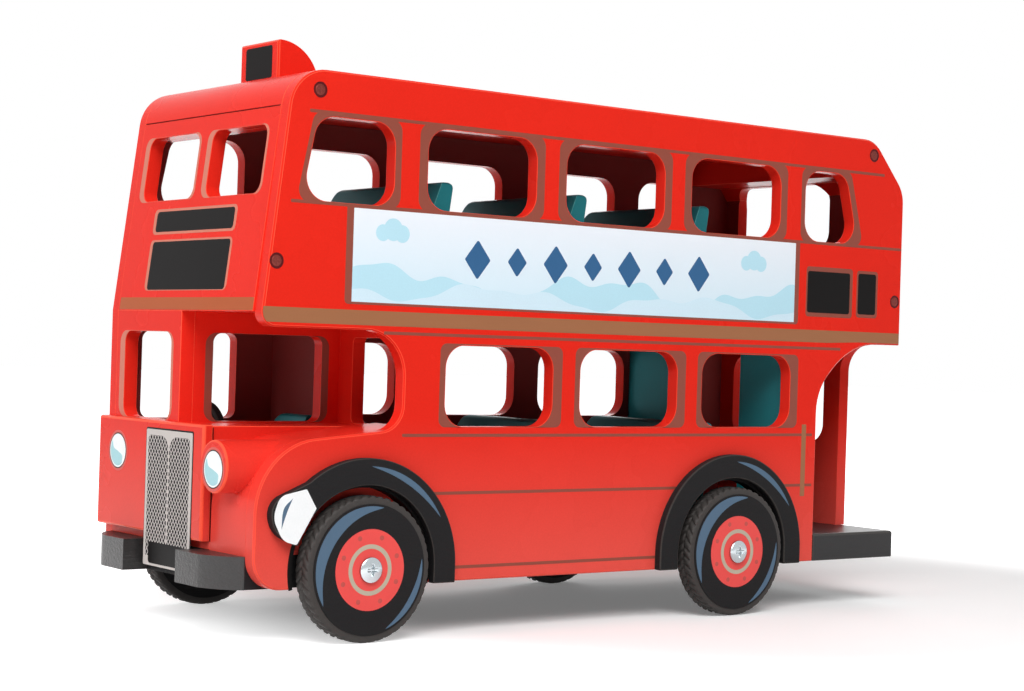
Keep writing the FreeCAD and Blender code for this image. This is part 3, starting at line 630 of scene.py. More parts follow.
def face_materials(name, mesh):
    """Material of each face of a red board: the painted shade of a wheel's bay on the faces near an
    axle that don't look sideways, the inside red, a painted shade, on a panel's inner faces, and 0
    elsewhere."""
    count = len(mesh.polygons)
    centre, normal = np.empty(count * 3), np.empty(count * 3)
    mesh.polygons.foreach_get("center", centre)
    mesh.polygons.foreach_get("normal", normal)
    centre, normal = centre.reshape(-1, 3), normal.reshape(-1, 3)
    bay = np.zeros(count, bool)
    for pivot in PIVOT.values():
        away = np.hypot(centre[:, 0] - pivot.x, (centre[:, 2] - pivot.z).clip(0))
        bay |= (away < BAY_RADIUS * MM) & (abs(centre[:, 1] - pivot.y) < BAY_DEPTH * MM)
    axis, sign = INNER_FACES.get(name, (0, 0))
    # Painted shade on the inner faces, then on the faces of the wheel bays.
    chosen = np.where(normal[:, axis] * sign > LOOKING, INNER_SHADE_MATERIAL, 0)
    chosen[bay & (abs(normal[:, 1]) < NOT_LOOKING)] = BAY_SHADE_MATERIAL
    return chosen.tolist()


def soft_board(name, body, paints, width):
    """Copy of a board with its loose triangles merged, its flat faces made whole and every sharp
    edge rounded. The rounding takes the edge material: thin paint with a painted highlight."""
    mesh = frame["nodes"][name].data.copy()
    work = bmesh.new()
    work.from_mesh(mesh)
    bmesh.ops.remove_doubles(work, verts=work.verts, dist=MERGE * MM)
    bmesh.ops.dissolve_limit(work, angle_limit=math.radians(FLAT_ANGLE), verts=work.verts,
                             edges=work.edges)
    work.to_mesh(mesh)
    work.free()
    mesh.name = name + "_painted"
    mesh.materials.clear()
    for material in paints:
        mesh.materials.append(material)
    mesh.polygons.foreach_set("material_index", face_materials(name, mesh)
                              if len(paints) > 2 else [0] * len(mesh.polygons))
    shade_round(mesh, SMOOTH_ANGLE)
    piece = new_piece(name + "_painted", mesh, body)
    # The rounded edges take the edge material, with its painted highlight.
    round_edges(piece, width, 2, BEVEL_ANGLE).material = 1
    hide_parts(name)


class TOYBUS_OT_boards(bpy.types.Operator):
    """Rounds and paints the wooden boards, and paints the wheel discs"""
    bl_idname = "toybus.boards"
    bl_label = "Painted boards"

    def execute(self, context):
        # Painted shade on the offside of the cab's wall.
        shade_bulkhead_offside()
        slots = {s["node"]: s["material_slot"] for s in frame["record"]["subparts"]}
        for body, names in frame["record"]["behaviour"]["bodies"].items():
            for name in names:
                slot = slots[name]
                if slot not in BOARD_PAINTS or name in OWN_PIECES:
                    continue
                paints = [finish(n) for n in BOARD_PAINTS.get(name, BOARD_PAINTS[slot])]
                if name.startswith("wheel_disc"):
                    materials = frame["nodes"][name].data.materials
                    materials.clear()
                    materials.append(paints[0])
                    continue
                width = next((w for key, w in BEVELS.items() if name.startswith(key)),
                             BEVEL_USUAL)
                soft_board(name, body, paints, width)
        return {"FINISHED"}


# ---- Prints on the sides --------------------------------------------------------------------
# Heights of the windows and of their frames.
UPPER, UPPER_FRAME = (175.8, 209.5), (174.9, 211.2)
LOWER, LOWER_FRAME = (86.5, 120.4), (86.3, 121.1)
CAB, CAB_FRAME = (84.4, 122.8), (84.2, 123.5)
WINDOW_R, CAB_WINDOW_R, FRAME_GAP = 9.5, 4.0, 0.32
UPPER_PITCH, LOWER_PITCH = 73.5, 72.37
# Height, start and end of each line.
LINES = ((211.1, 14.8, 347.8), (175.05, 1.2, 355.2), (124.5, 42.5, 309.5), (82.95, 60.4, 299.0),
         (58.9, 59.8, 80.0), (58.9, 146.5, 285.5), (27.95, 158.0, 274.0))
BAND_FOOT = ((0.8, 128.2), (30, 128.15), (52, 127.35), (200, 127.3), (364.4, 127.3),
             (365.3, 128.2), (366.0, 129.4), (366.4, 131.4))
BAND_TOP = [(x, 133.3) for x in (0.8, 30, 52, 200, 364.4, 365.3, 365.9, 366.1)]
POST_STRIP = (64.5, 67.5, 53.6, 87.9)
# Radii of a sign and of its frame, and the sides of both.
SIDE_SIGN_RADII = (1.3, 1.8)
SIDE_SIGNS = (((37.2, 66.5, 141.6, 161.5), (35.3, 67.4, 139.7, 163.7)),
              ((18.7, 31.4, 141.9, 161.8), (17.4, 32.4, 140.3, 163.2)))


def side_windows(side):
    """Every window of a side: its corners and their radius, the heights of its frame, how far the
    frame reaches behind and ahead of it, and the frame's radius. The nose window and the tail
    window lean, the others are square."""
    foot, top = UPPER
    nose = [(306.7, foot), (350.4, foot), (343.6, top), (306.7, top)]
    tail = [(32.8, foot), (69.6, foot), (69.6, top), (42.0, top)]
    upper = [rectangle(86.2 + UPPER_PITCH * i, 143.1 + UPPER_PITCH * i, *UPPER) for i in range(3)]
    lower = [rectangle(76.3 + LOWER_PITCH * i, 133.27 + LOWER_PITCH * i, *LOWER) for i in range(3)]
    made = [(nose, WINDOW_R, UPPER_FRAME, 3.2, 2.3, 5.0),
            (tail, WINDOW_R, UPPER_FRAME, 3.8, 2.8, 5.0)]
    made += [(corners, WINDOW_R, UPPER_FRAME, 4.4, 4.4, 5.0) for corners in upper]
    made += [(corners, WINDOW_R, LOWER_FRAME, 5.2, 3.0, 3.2) for corners in lower]
    if side == "off":
        made.append((rectangle(307.9, 355.2, *CAB), CAB_WINDOW_R, CAB_FRAME, 5.2, 3.0, 3.2))
    return made


def frame_outline(corners, heights, behind, ahead, radius):
    """Outside of a window's frame, with the window's own slant: a point at height z on an edge is
    foot + (head - foot) * (z - z0) / (z1 - z0)."""
    (a, z0), (b, _), (c, z1), (d, _) = corners
    low, high = heights
    share = (low - z0) / (z1 - z0), (high - z0) / (z1 - z0)
    back = [a + (d - a) * s - behind for s in share]
    fore = [b + (c - b) * s + ahead for s in share]
    return rounded([(back[0], low), (fore[0], low), (fore[1], high), (back[1], high)], radius)


class TOYBUS_OT_side_lines(bpy.types.Operator):
    """Prints the bronze band, the thin lines and the window frames on both sides"""
    bl_idname = "toybus.side_lines"
    bl_label = "Side lines and window frames"

    def execute(self, context):
        inks = settings("ink")
        h, half = inks.height, inks.line_width / MM / 2
        for side, sign in SIDES:
            face = side_surface(sign)
            frames = [ring(rounded(corners, radius, FRAME_GAP), frame_outline(corners, *outside),
                           face, 0, 0.8 * h)
                      for corners, radius, *outside in side_windows(side)]
            add_piece("window_frames_" + side, frames, ink("line"))
            lines = [filled(rounded_box((a, b, z - half, z + half), half * 0.5), face, 0, h)
                     for z, a, b in LINES]
            add_piece("side_lines_" + side, lines, ink("line"))
            band = slab(np.array(BAND_FOOT), np.array(BAND_TOP), face, 0, h)
            strip = filled(rounded_box(POST_STRIP, 0.3), face, h, 1.6 * h)
            add_piece("side_band_" + side, [band, strip], ink("bronze"))
        return {"FINISHED"}


def sign_outlines(signs, radii):
    return [[rounded_box(sides, radius) for sides, radius in zip(sign, radii)] for sign in signs]


class TOYBUS_OT_side_signs(bpy.types.Operator):
    """Prints the blank signs near the rear of both sides"""
    bl_idname = "toybus.side_signs"
    bl_label = "Blank side signs"

    def execute(self, context):
        h = settings("ink").height
        shapes = sign_outlines(SIDE_SIGNS, SIDE_SIGN_RADII)
        for side, sign in SIDES:
            face = side_surface(sign)
            add_piece("side_sign_frames_" + side, [ring(*shape, face, 0, h) for shape in shapes],
                      ink("line"))
            add_piece("side_signs_" + side, [filled(inner, face, 0, h) for inner, _ in shapes],
                      ink("sign"))
        return {"FINISHED"}


# ---- Pale panels of the sides ---------------------------------------------------------------
# Sides of the panel and of its border.
PALE = (75.2, 325.7, 136.6, 174.2)
PALE_BORDER = (72.4, 329.0, 135.6, 174.9)
# Size, turns over the length and share of the phase of each wave in a row of hills.
WAVES = ((0.28, 2.3, 1), (0.16, 5.1, 2), (0.06, 11, 1))
# Height and phase of each row.
FAR_HILLS, NEAR_HILLS = (19, 0.15), (11, 0.62)
# x, z and radius of a cloud's discs, and how far the second cloud is from the first.
CLOUD = ((98, 163, 3.6), (107.5, 163, 3.4), (102.5, 164.5, 4.6))
SECOND_CLOUD = (204, 2)
DIAMOND = np.array([(0, -1), (0.8, 0), (0, 1), (-0.8, 0)])
DIAMOND_REACHES, DIAMOND_PITCH, DIAMOND_Z = (8.4, 6.4, 8.4, 6.4, 8.4, 6.4, 8.4), 21.0, 156.5


def pale_ground():
    """Ground that shades from one pale blue to another with height, under a fine dust."""
    inks = settings("ink")
    material, tree, shader = plain_material("ink_pale_panel")
    place = object_place(tree)
    tone = mix_colours(tree, along_axis(tree, place, "Z", PALE[2] * MM, PALE[3] * MM),
                       inks.pale_ground, inks.pale_top)
    dust = maths(tree, "MULTIPLY", noise(tree, place, 900.0), 0.08)
    wire(tree, (mix_colours(tree, dust, tone, inks.pale_shapes), shader.inputs["Base Color"]))
    preset(shader, {"Roughness": 0.38})
    return material


def hills(height, phase, surface, low, high):
    """Soft row of hills along the panel's foot: half the height plus a sum of three sines."""
    x0, x1, foot, _ = PALE
    x = np.linspace(x0, x1, 160)
    t = (x - x0) / (x1 - x0)
    wave = 0.5 + sum(size * np.sin(2 * math.pi * (turns * t + share * phase))
                     for size, turns, share in WAVES)
    return slab(np.stack([x, np.full(len(x), foot)], 1),
                np.stack([x, foot + height * wave], 1), surface, low, high)


class TOYBUS_OT_pale_panels(bpy.types.Operator):
    """Prints the long pale panel between the decks, with hills, clouds and a row of diamonds"""
    bl_idname = "toybus.pale_panels"
    bl_label = "Pale side panels"

    def execute(self, context):
        h, ground = settings("ink").height, pale_ground()
        panel, border = rounded_box(PALE, 0.3), rounded_box(PALE_BORDER, [1.8, 1.8, 0.3, 0.3])
        for side, sign in SIDES:
            face = side_surface(sign)
            add_piece("pale_panel_frame_" + side, [ring(panel, border, face, 0, 1.4 * h)],
                      ink("line"))
            add_piece("pale_panel_" + side, [filled(panel, face, 0, h)], ground)
            clouds = [disc(r, face, h, (1.4 + 0.2 * i) * h, (x + dx, z + dz))
                      for dx, dz in ((0, 0), SECOND_CLOUD) for i, (x, z, r) in enumerate(CLOUD)]
            add_piece("pale_panel_shapes_" + side,
                      [hills(*FAR_HILLS, face, h, 1.3 * h)] + clouds, ink("pale_shapes"))
            first = (PALE[0] + PALE[1]) / 2 - len(DIAMOND_REACHES) // 2 * DIAMOND_PITCH
            middles = [(first + i * DIAMOND_PITCH, DIAMOND_Z) for i in range(len(DIAMOND_REACHES))]
            add_piece("pale_panel_diamonds_" + side,
                      [filled(rounded(DIAMOND * reach + middle, 0.8), face, h, 2 * h)
                       for reach, middle in zip(DIAMOND_REACHES, middles)], ink("panel_blue"))
            add_piece("pale_panel_near_hills_" + side, [hills(*NEAR_HILLS, face, h, 1.7 * h)],
                      ink("pale_ground"))
        return {"FINISHED"}


# ---- Prints on the front and the cab --------------------------------------------------------
# Radii of a sign and of its frame, and the sides of both.
FRONT_SIGN_RADII = (1.6, 2.6)
FRONT_SIGNS = (((-33.6, 32.5, 164.6, 173.3), (-36.0, 34.4, 163.5, 174.4)),
               ((-33.9, 32.3, 139.9, 160.4), (-36.2, 33.8, 139.6, 161.2)))
FRONT_PANES = ((5.5, 49.3, 178.2, 205.8), (-49.3, -5.5, 178.2, 205.8))
# How far a frame reaches before, after, below and above its pane, then the radius and the growth
# of its inside and of its outside.
FRONT_FRAME = ((4.0, 1.7, 0.35, 0.35), (5.0, 0.3), (4.6, 0.0))
CAB_PANE = ((-50.0, -8.1, 85.5, 122.4), (4.3, 1.8, 0.1, 0.1), (5.0, 0.05), (5.5, 0.06))
CAB_SIDE_PANE = ((298.5, 351.9, 85.5, 122.4), (3.5, 3.6, 0.1, 0.1), (4.0, 0.05), (5.0, 0.06))
# Distances from both edges of the front, and heights, of the band and of the painted shade in the
# header's seam.
FRONT_BAND, HEADER_SEAM_SHADE = (0.9, 0.2, 131.6, 136.7), (0.9, 0.9, 212.6, 213.1)
ROOF_BLANK_HALF, ROOF_BLANK_DROPS = 10.8, (15.6, 2.0)


def pane_frame(pane, reach, inside, outside, surface, height):
    return ring(rounded_box(pane, *inside), rounded_box(wider(pane, *reach), *outside), surface,
                0, height)


class TOYBUS_OT_front_prints(bpy.types.Operator):
    """Prints the blank signs, the bronze band and the pane frames on the front and the cab"""
    bl_idname = "toybus.front_prints"
    bl_label = "Front prints"

    def execute(self, context):
        h, face = settings("ink").height, leaning_front()
        signs = sign_outlines(FRONT_SIGNS, FRONT_SIGN_RADII)
        add_piece("front_sign_frames",
                  [ring(*shape, face, 0, h) for shape in signs]
                  + [pane_frame(pane, *FRONT_FRAME, face, h) for pane in FRONT_PANES],
                  ink("pale_line"))
        add_piece("front_signs", [filled(inner, face, 0, h) for inner, _ in signs], ink("sign"))
        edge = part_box("upper_front_panel")[1].y / MM
        band, seam = (rounded_box((off - edge, edge - near, z0, z1), 0.2)
                      for off, near, z0, z1 in (FRONT_BAND, HEADER_SEAM_SHADE))
        add_piece("front_band", [filled(band, face, 0, h)], ink("front_bronze"))
        add_piece("header_seam", [filled(seam, face, 0, 0.5 * h)], finish("header_shade"))
        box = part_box("sign_box")[1]
        blank = rounded_box((-ROOF_BLANK_HALF, ROOF_BLANK_HALF,
                             *(box.z / MM - drop for drop in ROOF_BLANK_DROPS)), 1.2)
        add_piece("roof_sign", [filled(blank, facing_front(box.x), 0, h)], ink("sign"))
        cab = facing_front(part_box("cab_front_panel")[1].x)
        add_piece("cab_pane_frame", [pane_frame(*CAB_PANE, cab, h)], ink("pale_line"))
        wall = facing_side(1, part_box("cab_side_wall")[1].y)
        add_piece("cab_side_frame", [pane_frame(*CAB_SIDE_PANE, wall, h)], ink("line"))
        return {"FINISHED"}


# ---- Radiator -------------------------------------------------------------------------------
PLATE, PLATE_THICKNESS, PLATE_MIDDLE = (-18.8, 20.5, 25.0, 81.6), 0.3, 0.85
# The blank plate and the nearside field of mesh are measured from the plate's middle. The other
# field is the mirror image.
PLATE_BLANK = (-15.2, 15.2, 26.0, 34.9)
FIELD, FIELD_RADII = rectangle(0.5, 17.8, 29.0, 79.2), [0.3, 0.3, 2.0, 6.0]
MESH_ACROSS, MESH_TALL, MESH_WIRE, SHORTEST_WIRE = 2.4, 2.9, 0.4, 0.3


class TOYBUS_OT_radiator(bpy.types.Operator):
    """Lays the radiator plate on the apron with the painted shade of its gap round it, both fields
    of diamond mesh and the blank plate at its foot"""
    bl_idname = "toybus.radiator"
    bl_label = "Radiator"

    def execute(self, context):
        h, back = settings("ink").height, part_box("grille_plate")[0].x
        board = facing_front(back)
        middle = facing_front(back + PLATE_THICKNESS * MM, PLATE_MIDDLE * MM)
        plate = rounded_box(PLATE, 0.8)
        piece = add_piece("radiator_plate", [filled(plate, board, 0, PLATE_THICKNESS * MM)],
                          finish("brushed_silver"))
        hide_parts("grille_plate")
        # Painted shade in the gap round the plate, on all sides but its foot, in the sign black.
        rim = rounded_box(wider(PLATE, 0.7, 0.7, 0, 0.7), 1.0)
        add_piece("radiator_rim", [ring(plate, rim, board, 0, h)], ink("sign"))
        fields = [filled(rounded(FIELD, FIELD_RADII) * (sign, 1), middle, 0, 0.5 * h)
                  for sign in (1, -1)]
        add_piece("radiator_fields", fields, ink("mesh_black"))
        wires = [w for sign in (1, -1) for w in mesh_wires(sign, middle, 0.5 * h, h)]
        add_piece("radiator_mesh", wires, finish("mesh_silver"))
        add_piece("radiator_blank", [filled(rounded_box(PLATE_BLANK, 1.6), middle, 0, 1.6 * h)],
                  ink("sign"))
        return {"FINISHED"}


def mesh_wires(sign, surface, low, high):
    """Two families of slanting wires, u * tall +- v * across = constant, each cut to the stretch
    that lies inside the convex field: from the last edge that it comes in over to the first that
    it goes out over, where the distance along it is distance to the edge / rate of approach."""
    shape = rounded(FIELD, FIELD_RADII, 0, 24)
    edge = np.roll(shape, -1, 0) - shape
    keep = np.linalg.norm(edge, axis=1) > 1e-4
    base, edge = shape[keep], edge[keep]
    normal = np.stack([edge[:, 1], -edge[:, 0]], 1)
    (u0, v0), (u1, v1) = shape.min(0), shape.max(0)
    sideways = (v1 - v0) * MESH_ACROSS / MESH_TALL
    made = []
    for lean in (1, -1):
        along = np.array([MESH_ACROSS, lean * MESH_TALL])
        half = np.array([-along[1], along[0]]) / np.hypot(*along) * MESH_WIRE / 2
        top = high if lean > 0 else high - 0.01 * MM
        gain = normal @ along
        for start in np.arange(u0 - sideways, u1 + sideways, MESH_ACROSS):
            inside = ((base - (start, v0)) * normal).sum(1)
            with np.errstate(divide="ignore", invalid="ignore"):
                t = inside / gain
            enter, leave = t[gain < -1e-9].max(), t[gain > 1e-9].min()
            if leave - enter < SHORTEST_WIRE or (inside[abs(gain) <= 1e-9] < 0).any():
                continue
            ends = (start, v0) + along * np.array([[enter], [leave]])
            made.append(slab((ends - half) * (sign, 1), (ends + half) * (sign, 1), surface, low,
                             top))
    return made


# ---- Bumpers --------------------------------------------------------------------------------
# Length of the bend along the bumper, the power p of its curve and the depth left at its end.
BEND, SWEEP_POWER, END_DEPTH = 16.4, 1.45, 0.2
# Width in millimetres, segments and least angle in degrees of a bumper's rounded edges.
BUMPER_EDGES = (0.9, 3, 40)
# Width of the painted shade in the seam beside the wing, and its height.
SEAM_SHADE_WIDTH, SEAM_SHADE_HEIGHT = 0.7, 0.06


class TOYBUS_OT_bumpers(bpy.types.Operator):
    """Puts on both bumper halves and the painted shade of the seam beside the wing. Seen from
    above, a bumper's front is straight and then falls back to the outer end as
    x = depth * (1 - t ** p) ** (1 / p), with t running over the bend."""
    bl_idname = "toybus.bumpers"
    bl_label = "Bumpers"

    def execute(self, context):
        for side, sign in SIDES:
            low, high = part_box("bumper_" + side)
            inner, outer = sorted((abs(low.y) / MM, abs(high.y) / MM))
            depth = (high.x - low.x) / MM
            t = 1 - np.linspace(1, 0, 26) ** 2
            x = depth * (1 - t ** SWEEP_POWER).clip(0) ** (1 / SWEEP_POWER)
            bend = np.stack([np.maximum(x, END_DEPTH), outer - BEND * (1 - t)], 1)
            front = np.concatenate([[(depth, inner)], bend])
            above = Surface((low.x, 0, low.z), (1, 0, 0), (0, sign, 0), (0, 0, 1))
            piece = add_piece("bumper_%s_worn" % side,
                              [slab(front, front * (0, 1), above, 0, high.z - low.z)],
                              finish("brushed_charcoal"), smooth=35)
            round_edges(piece, *BUMPER_EDGES)
            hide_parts("bumper_" + side)
        wing, (low, high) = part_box("wing_block"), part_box("apron_board")
        start = wing[0].y / MM
        seam = rounded_box((start, start + SEAM_SHADE_WIDTH, low.z / MM, high.z / MM - 1), 0.2)
        add_piece("wing_seam", [filled(seam, facing_front(wing[1].x), 0, SEAM_SHADE_HEIGHT * MM)],
                  finish("seam_shade"))
        return {"FINISHED"}


# ---- Lamps ----------------------------------------------------------------------------------
LAMP_R, LAMP_RIM, LAMP_HALO, LAMP_SHADE_REACH = 7.2, 0.45, 1.5, 0.9
OFF_LAMP, POD_DROP = (-45.2, 70.9), 1.0
# Line between the white and the shaded half, in radii of the lamp.
SWOOSH = ((-0.70, 0.57), (-0.52, 0.16), (0.03, -0.04), (0.58, -0.29), (0.54, -0.72))


class TOYBUS_OT_lamps(bpy.types.Operator):
    """Prints the two lamps: a white disc, a pale blue shaded half, a thin dark rim and a halo"""
    bl_idname = "toybus.lamps"
    bl_label = "Lamps"

    def execute(self, context):
        h = settings("ink").height
        low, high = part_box("headlamp_pod")
        middle = ((low.y + high.y) / 2 / MM, (low.z + high.z) / 2 / MM - POD_DROP)
        curve = smooth_curve(SWOOSH, 48) * LAMP_R
        start, end = (math.degrees(math.atan2(p[1], p[0])) for p in (curve[0], curve[-1]))
        shaded = arc(LAMP_R * LAMP_SHADE_REACH, start, 360 + end, 48)
        for side, x, centre in (("near", high.x, middle),
                                ("off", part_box("apron_board")[1].x, OFF_LAMP)):
            face = facing_front(x)
            add_piece("lamp_white_" + side, [disc(LAMP_R, face, 0, 2 * h, centre, 64)],
                      ink("lamp_white"))
            add_piece("lamp_shade_" + side,
                      [slab(curve + centre, shaded + centre, face, 2 * h, 3 * h)],
                      ink("lamp_blue"))
            glass, rim, halo = (circle(64) * (LAMP_R + more) + centre
                                for more in (0, LAMP_RIM, LAMP_HALO))
            add_piece("lamp_rim_" + side, [ring(glass, rim, face, 0, 2 * h)], ink("sign"))
            add_piece("lamp_halo_" + side, [ring(rim, halo, face, 0, h)], ink("lamp_halo"))
        return {"FINISHED"}


# ---- Wheels ---------------------------------------------------------------------------------
HUB_HOLE, HUB_RING = 2.6, (8.5, 10.3)
DOT_R, DOT_PLACES = 1.0, arc(13.7, 22.5, 337.5, 8)
# Start, end, count of points and depth of the painted shines on a wheel, in degrees and
# millimetres.
BIG_SHINE, SMALL_SHINE = (-32, 103.5, 60, 5.4), (172, 251, 40, 2.6)


class TOYBUS_OT_wheel_prints(bpy.types.Operator):
    """Prints hub, ring, dots and painted shine on each wheel's face"""
    bl_idname = "toybus.wheel_prints"
    bl_label = "Wheel prints"

    def execute(self, context):
        h, wheels = settings("ink").height, settings("wheels")
        hub, shine = wheels.hub_radius / MM, wheels.shine_radius / MM
        inner, outer = HUB_RING
        unit = circle(64)
        for wheel, sign in WHEELS:
            face, body = wheel_surface("wheel_disc_", wheel, sign), "wheel_" + wheel
            add_piece("hub_" + wheel, [ring(unit * HUB_HOLE, unit * hub, face, 0, h)],
                      ink("hub"), body=body)
            add_piece("hub_ring_" + wheel, [ring(unit * inner, unit * outer, face, h, 2 * h)],
                      ink("hub_ring"), body)
            add_piece("hub_dots_" + wheel, [disc(DOT_R, face, h, 1.6 * h, place, 20)
                                            for place in DOT_PLACES], ink("hub_dots"), body=body)
            add_piece("shine_" + wheel, [crescent(shine, *BIG_SHINE, face, h),
                                         crescent(shine, *SMALL_SHINE, face, h)],
                      ink("shine"), body)
        return {"FINISHED"}


RIM_R, FLANK_POWER, BULGE = 26.4, 9, 1.05
LUG_STEPS, SECTION_STEPS = 8, 27
# Slant of the grooves and shift between the two halves, in lugs, then where each step begins
# and ends.
LUG_SLANT, LUG_STAGGER = 0.9, 0.5
LUG_EDGE, MIDDLE_EDGE, FLANK_EDGE = (0.18, 0.45), (0.05, 0.16), (0.86, 0.97)


def ease(start, end, x):
    """Smooth step: t * t * (3 - 2 t), with t running from 0 at start to 1 at end."""
    t = ((x - start) / (end - start)).clip(0, 1)
    return t * t * (3 - 2 * t)


def tyre_grid(wheel):
    """Tyre as a ring of sections. Across the rubber s runs from -1 to 1 and the tread's height
    over the rim falls off as (1 - |s| ** 9) ** 0.25, so the flanks stand up square to it. Grooves
    are cut by smooth steps: slanting ones at every lug, staggered on the two halves and a little
    uneven, and one round the middle."""
    wheels, pivot = settings("wheels"), PIVOT["wheel_" + wheel]
    low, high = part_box("tyre_" + wheel)
    rim, top = RIM_R * MM, (high.z - low.z) / 2
    middle, half = (low.y + high.y) / 2, (high.y - low.y) / 2 * BULGE
    count = wheels.lugs * LUG_STEPS
    turn = np.arange(count)[:, None] * 2 * math.pi / count
    s = np.sin(np.linspace(-math.pi / 2, math.pi / 2, SECTION_STEPS))
    tread = rim + (top - rim) * (1 - abs(s) ** FLANK_POWER) ** 0.25
    lug = wheels.lugs * turn / (2 * math.pi) + LUG_SLANT * abs(s) + LUG_STAGGER * (s > 0)
    uneven = 0.10 * np.sin(3.0 * turn + 2.0) + 0.08 * np.sin(11.0 * turn)
    grooves = 1 - ease(*LUG_EDGE, abs((lug + uneven) % 1.0 - 0.5) * 2)
    depth = np.maximum(grooves, 1 - ease(*MIDDLE_EDGE, abs(s))) * (1 - ease(*FLANK_EDGE, abs(s)))
    back = s[::-1][1:-1][::5]
    r = np.concatenate([tread - depth * wheels.lug_depth, np.full((count, len(back)), rim)], 1)
    y = middle + np.concatenate([s, back]) * half + 0 * r
    grid = np.stack([pivot.x + r * np.cos(turn), y, pivot.z + r * np.sin(turn)], 2)
    rows, columns = r.shape
    i, j = np.meshgrid(np.arange(rows), np.arange(columns), indexing="ij")
    after, beside = (i + 1) % rows * columns, (j + 1) % columns
    faces = np.stack([i * columns + j, i * columns + beside, after + beside, after + j], 2)
    return grid.reshape(-1, 3), faces.reshape(-1, 4)


class TOYBUS_OT_tyres(bpy.types.Operator):
    """Fits a rubber tyre with a lugged tread to each wheel"""
    bl_idname = "toybus.tyres"
    bl_label = "Tyres"

    def execute(self, context):
        for wheel, _ in WHEELS:
            tyre = add_piece("tread_" + wheel, [tyre_grid(wheel)], finish("moulded_rubber"),
                             "wheel_" + wheel, 50)
            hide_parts("tyre_" + wheel)
        return {"FINISHED"}


# ---- Screws ---------------------------------------------------------------------------------
# Radii of a wheel screw's shank and head, and heights of the head's edge and dome.
SHANK_R, HEAD_R, HEAD_EDGE, HEAD_DOME = 2.0, 5.2, 0.7, 1.3
# Half length, half width and depth of the slots.
WHEEL_SLOT, PANEL_SLOT = (2.5, 0.65, 1.1), (1.5, 0.4, 0.2)
# x and z of each panel screw, then its size, the radius of the painted shade round it and the
# raised lip of its hole, which takes the same painted shade.
PANEL_SCREWS = ((22.7, 220.3), (4.8, 149.0), (343.3, 219.7), (360.9, 151.2))
SMALL_R, SMALL_FOOT, SMALL_DOME, SHADE_R, LIP = 2.2, 0.05, 0.25, 2.9, (2.8, 3.15, 0.16)


def cross_slot(length, width, depth):
    """Depth of a cross-head slot at a radius and angle: full inside either arm, easing out over
    the last quarter of its half length and the last two fifths of its half width."""
    def arm(a, b):
        return ((1 - ((a / (length * MM) - 0.75) / 0.25).clip(0, 1))
                * (1 - ((b / (width * MM) - 0.6) / 0.4).clip(0, 1)))

    def cut(radius, angle):
        u, v = abs(radius * np.cos(angle)), abs(radius * np.sin(angle))
        return depth * MM * np.maximum(arm(u, v), arm(v, u))
    return cut


def dome(radius, height, count):
    """Quarter of an ellipse from its foot to its top: radius * cos t and height * sin t."""
    t = np.linspace(0, math.pi / 2, count)
    return radius * MM * np.cos(t), height * MM * np.sin(t)


class TOYBUS_OT_wheel_screws(bpy.types.Operator):
    """Fits the domed cross-head screws on which the wheels turn"""
    bl_idname = "toybus.wheel_screws"
    bl_label = "Wheel screws"

    def execute(self, context):
        shank, head = SHANK_R * MM, HEAD_R * MM
        dome_r, dome_h = dome(HEAD_R, HEAD_DOME, 20)
        for side, sign in SIDES:
            low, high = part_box("wheel_screws_" + side)
            tip, crown = (low.y, high.y) if sign > 0 else (high.y, low.y)
            seat = abs(crown) - (HEAD_EDGE + HEAD_DOME) * MM - abs(tip)
            r = np.concatenate([[0, shank, shank, head], dome_r])
            y = np.concatenate([[0, 0, seat, seat], seat + HEAD_EDGE * MM + dome_h])
            pivots = [PIVOT["wheel_%s_%s" % (end, side)] for end in ("front", "rear")]
            solids = [revolved(r, y, Vector((pivot.x, tip, pivot.z)), sign, 72,
                               cross_slot(*WHEEL_SLOT), 4) for pivot in pivots]
            screws = add_piece("cross_screws_" + side, solids, finish("plated_steel"),
                               smooth=40)
            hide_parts("wheel_screws_" + side)
        return {"FINISHED"}


class TOYBUS_OT_panel_screws(bpy.types.Operator):
    """Fits the small dark screws that hold the side panels, each with a disc and a raised lip of
    painted shade round it
    """
    bl_idname = "toybus.panel_screws"
    bl_label = "Panel screws"

    def execute(self, context):
        dome_r, dome_h = dome(SMALL_R, SMALL_DOME, 10)
        r, y = np.concatenate([[0], dome_r]), np.concatenate([[0], SMALL_FOOT * MM + dome_h])
        lip_inner, lip_outer, lip_height = LIP
        for side, sign in SIDES:
            face = side_surface(sign)
            heads, shades, lips = [], [], []
            for place in PANEL_SCREWS:
                centre = Vector(face.points(np.array([place]), 0)[0])
                heads.append(revolved(r, y, centre, sign, 48, cross_slot(*PANEL_SLOT)))
                shades.append(disc(SHADE_R, face, 0, SMALL_FOOT * MM, place, 40))
                lips.append(ring(circle(40) * lip_inner + place, circle(40) * lip_outer + place,
                                 face, 0, lip_height * MM))
            add_piece("panel_screw_heads_" + side, heads, finish("panel_screw"),
                      smooth=40)
            add_piece("panel_screw_shade_" + side, shades, finish("panel_screw_shade"))
            add_piece("panel_screw_lips_" + side, lips, finish("panel_screw_shade"))
        return {"FINISHED"}


# ---- Arches ---------------------------------------------------------------------------------
# Radius, start, end, count of points and depth of the shine, then the radii and arc of the
# painted shade at the edge of the opening.
ARCH_SHINE = (41.3, 92, 151, 40, 2.5)
GAP_RADII, GAP_ARC = (32.4, 34.2), (-13, 193, 60)
# Corners of the white nose and their radii, and the two curves that bound its shine.
NOSE_OUTLINE = ((341.6, 54.4), (350.2, 40.2), (356.6, 42.0), (361.4, 51.0), (358.4, 59.6),
                (346.3, 62.1))
NOSE_RADII = (0.4, 1.2, 7.0, 8.0, 5.5, 0.7)
NOSE_SHINE = [((352.6, 58.6), middle, (357.4, 46.6)) for middle in ((356.6, 54.4), (355.0, 53.4))]


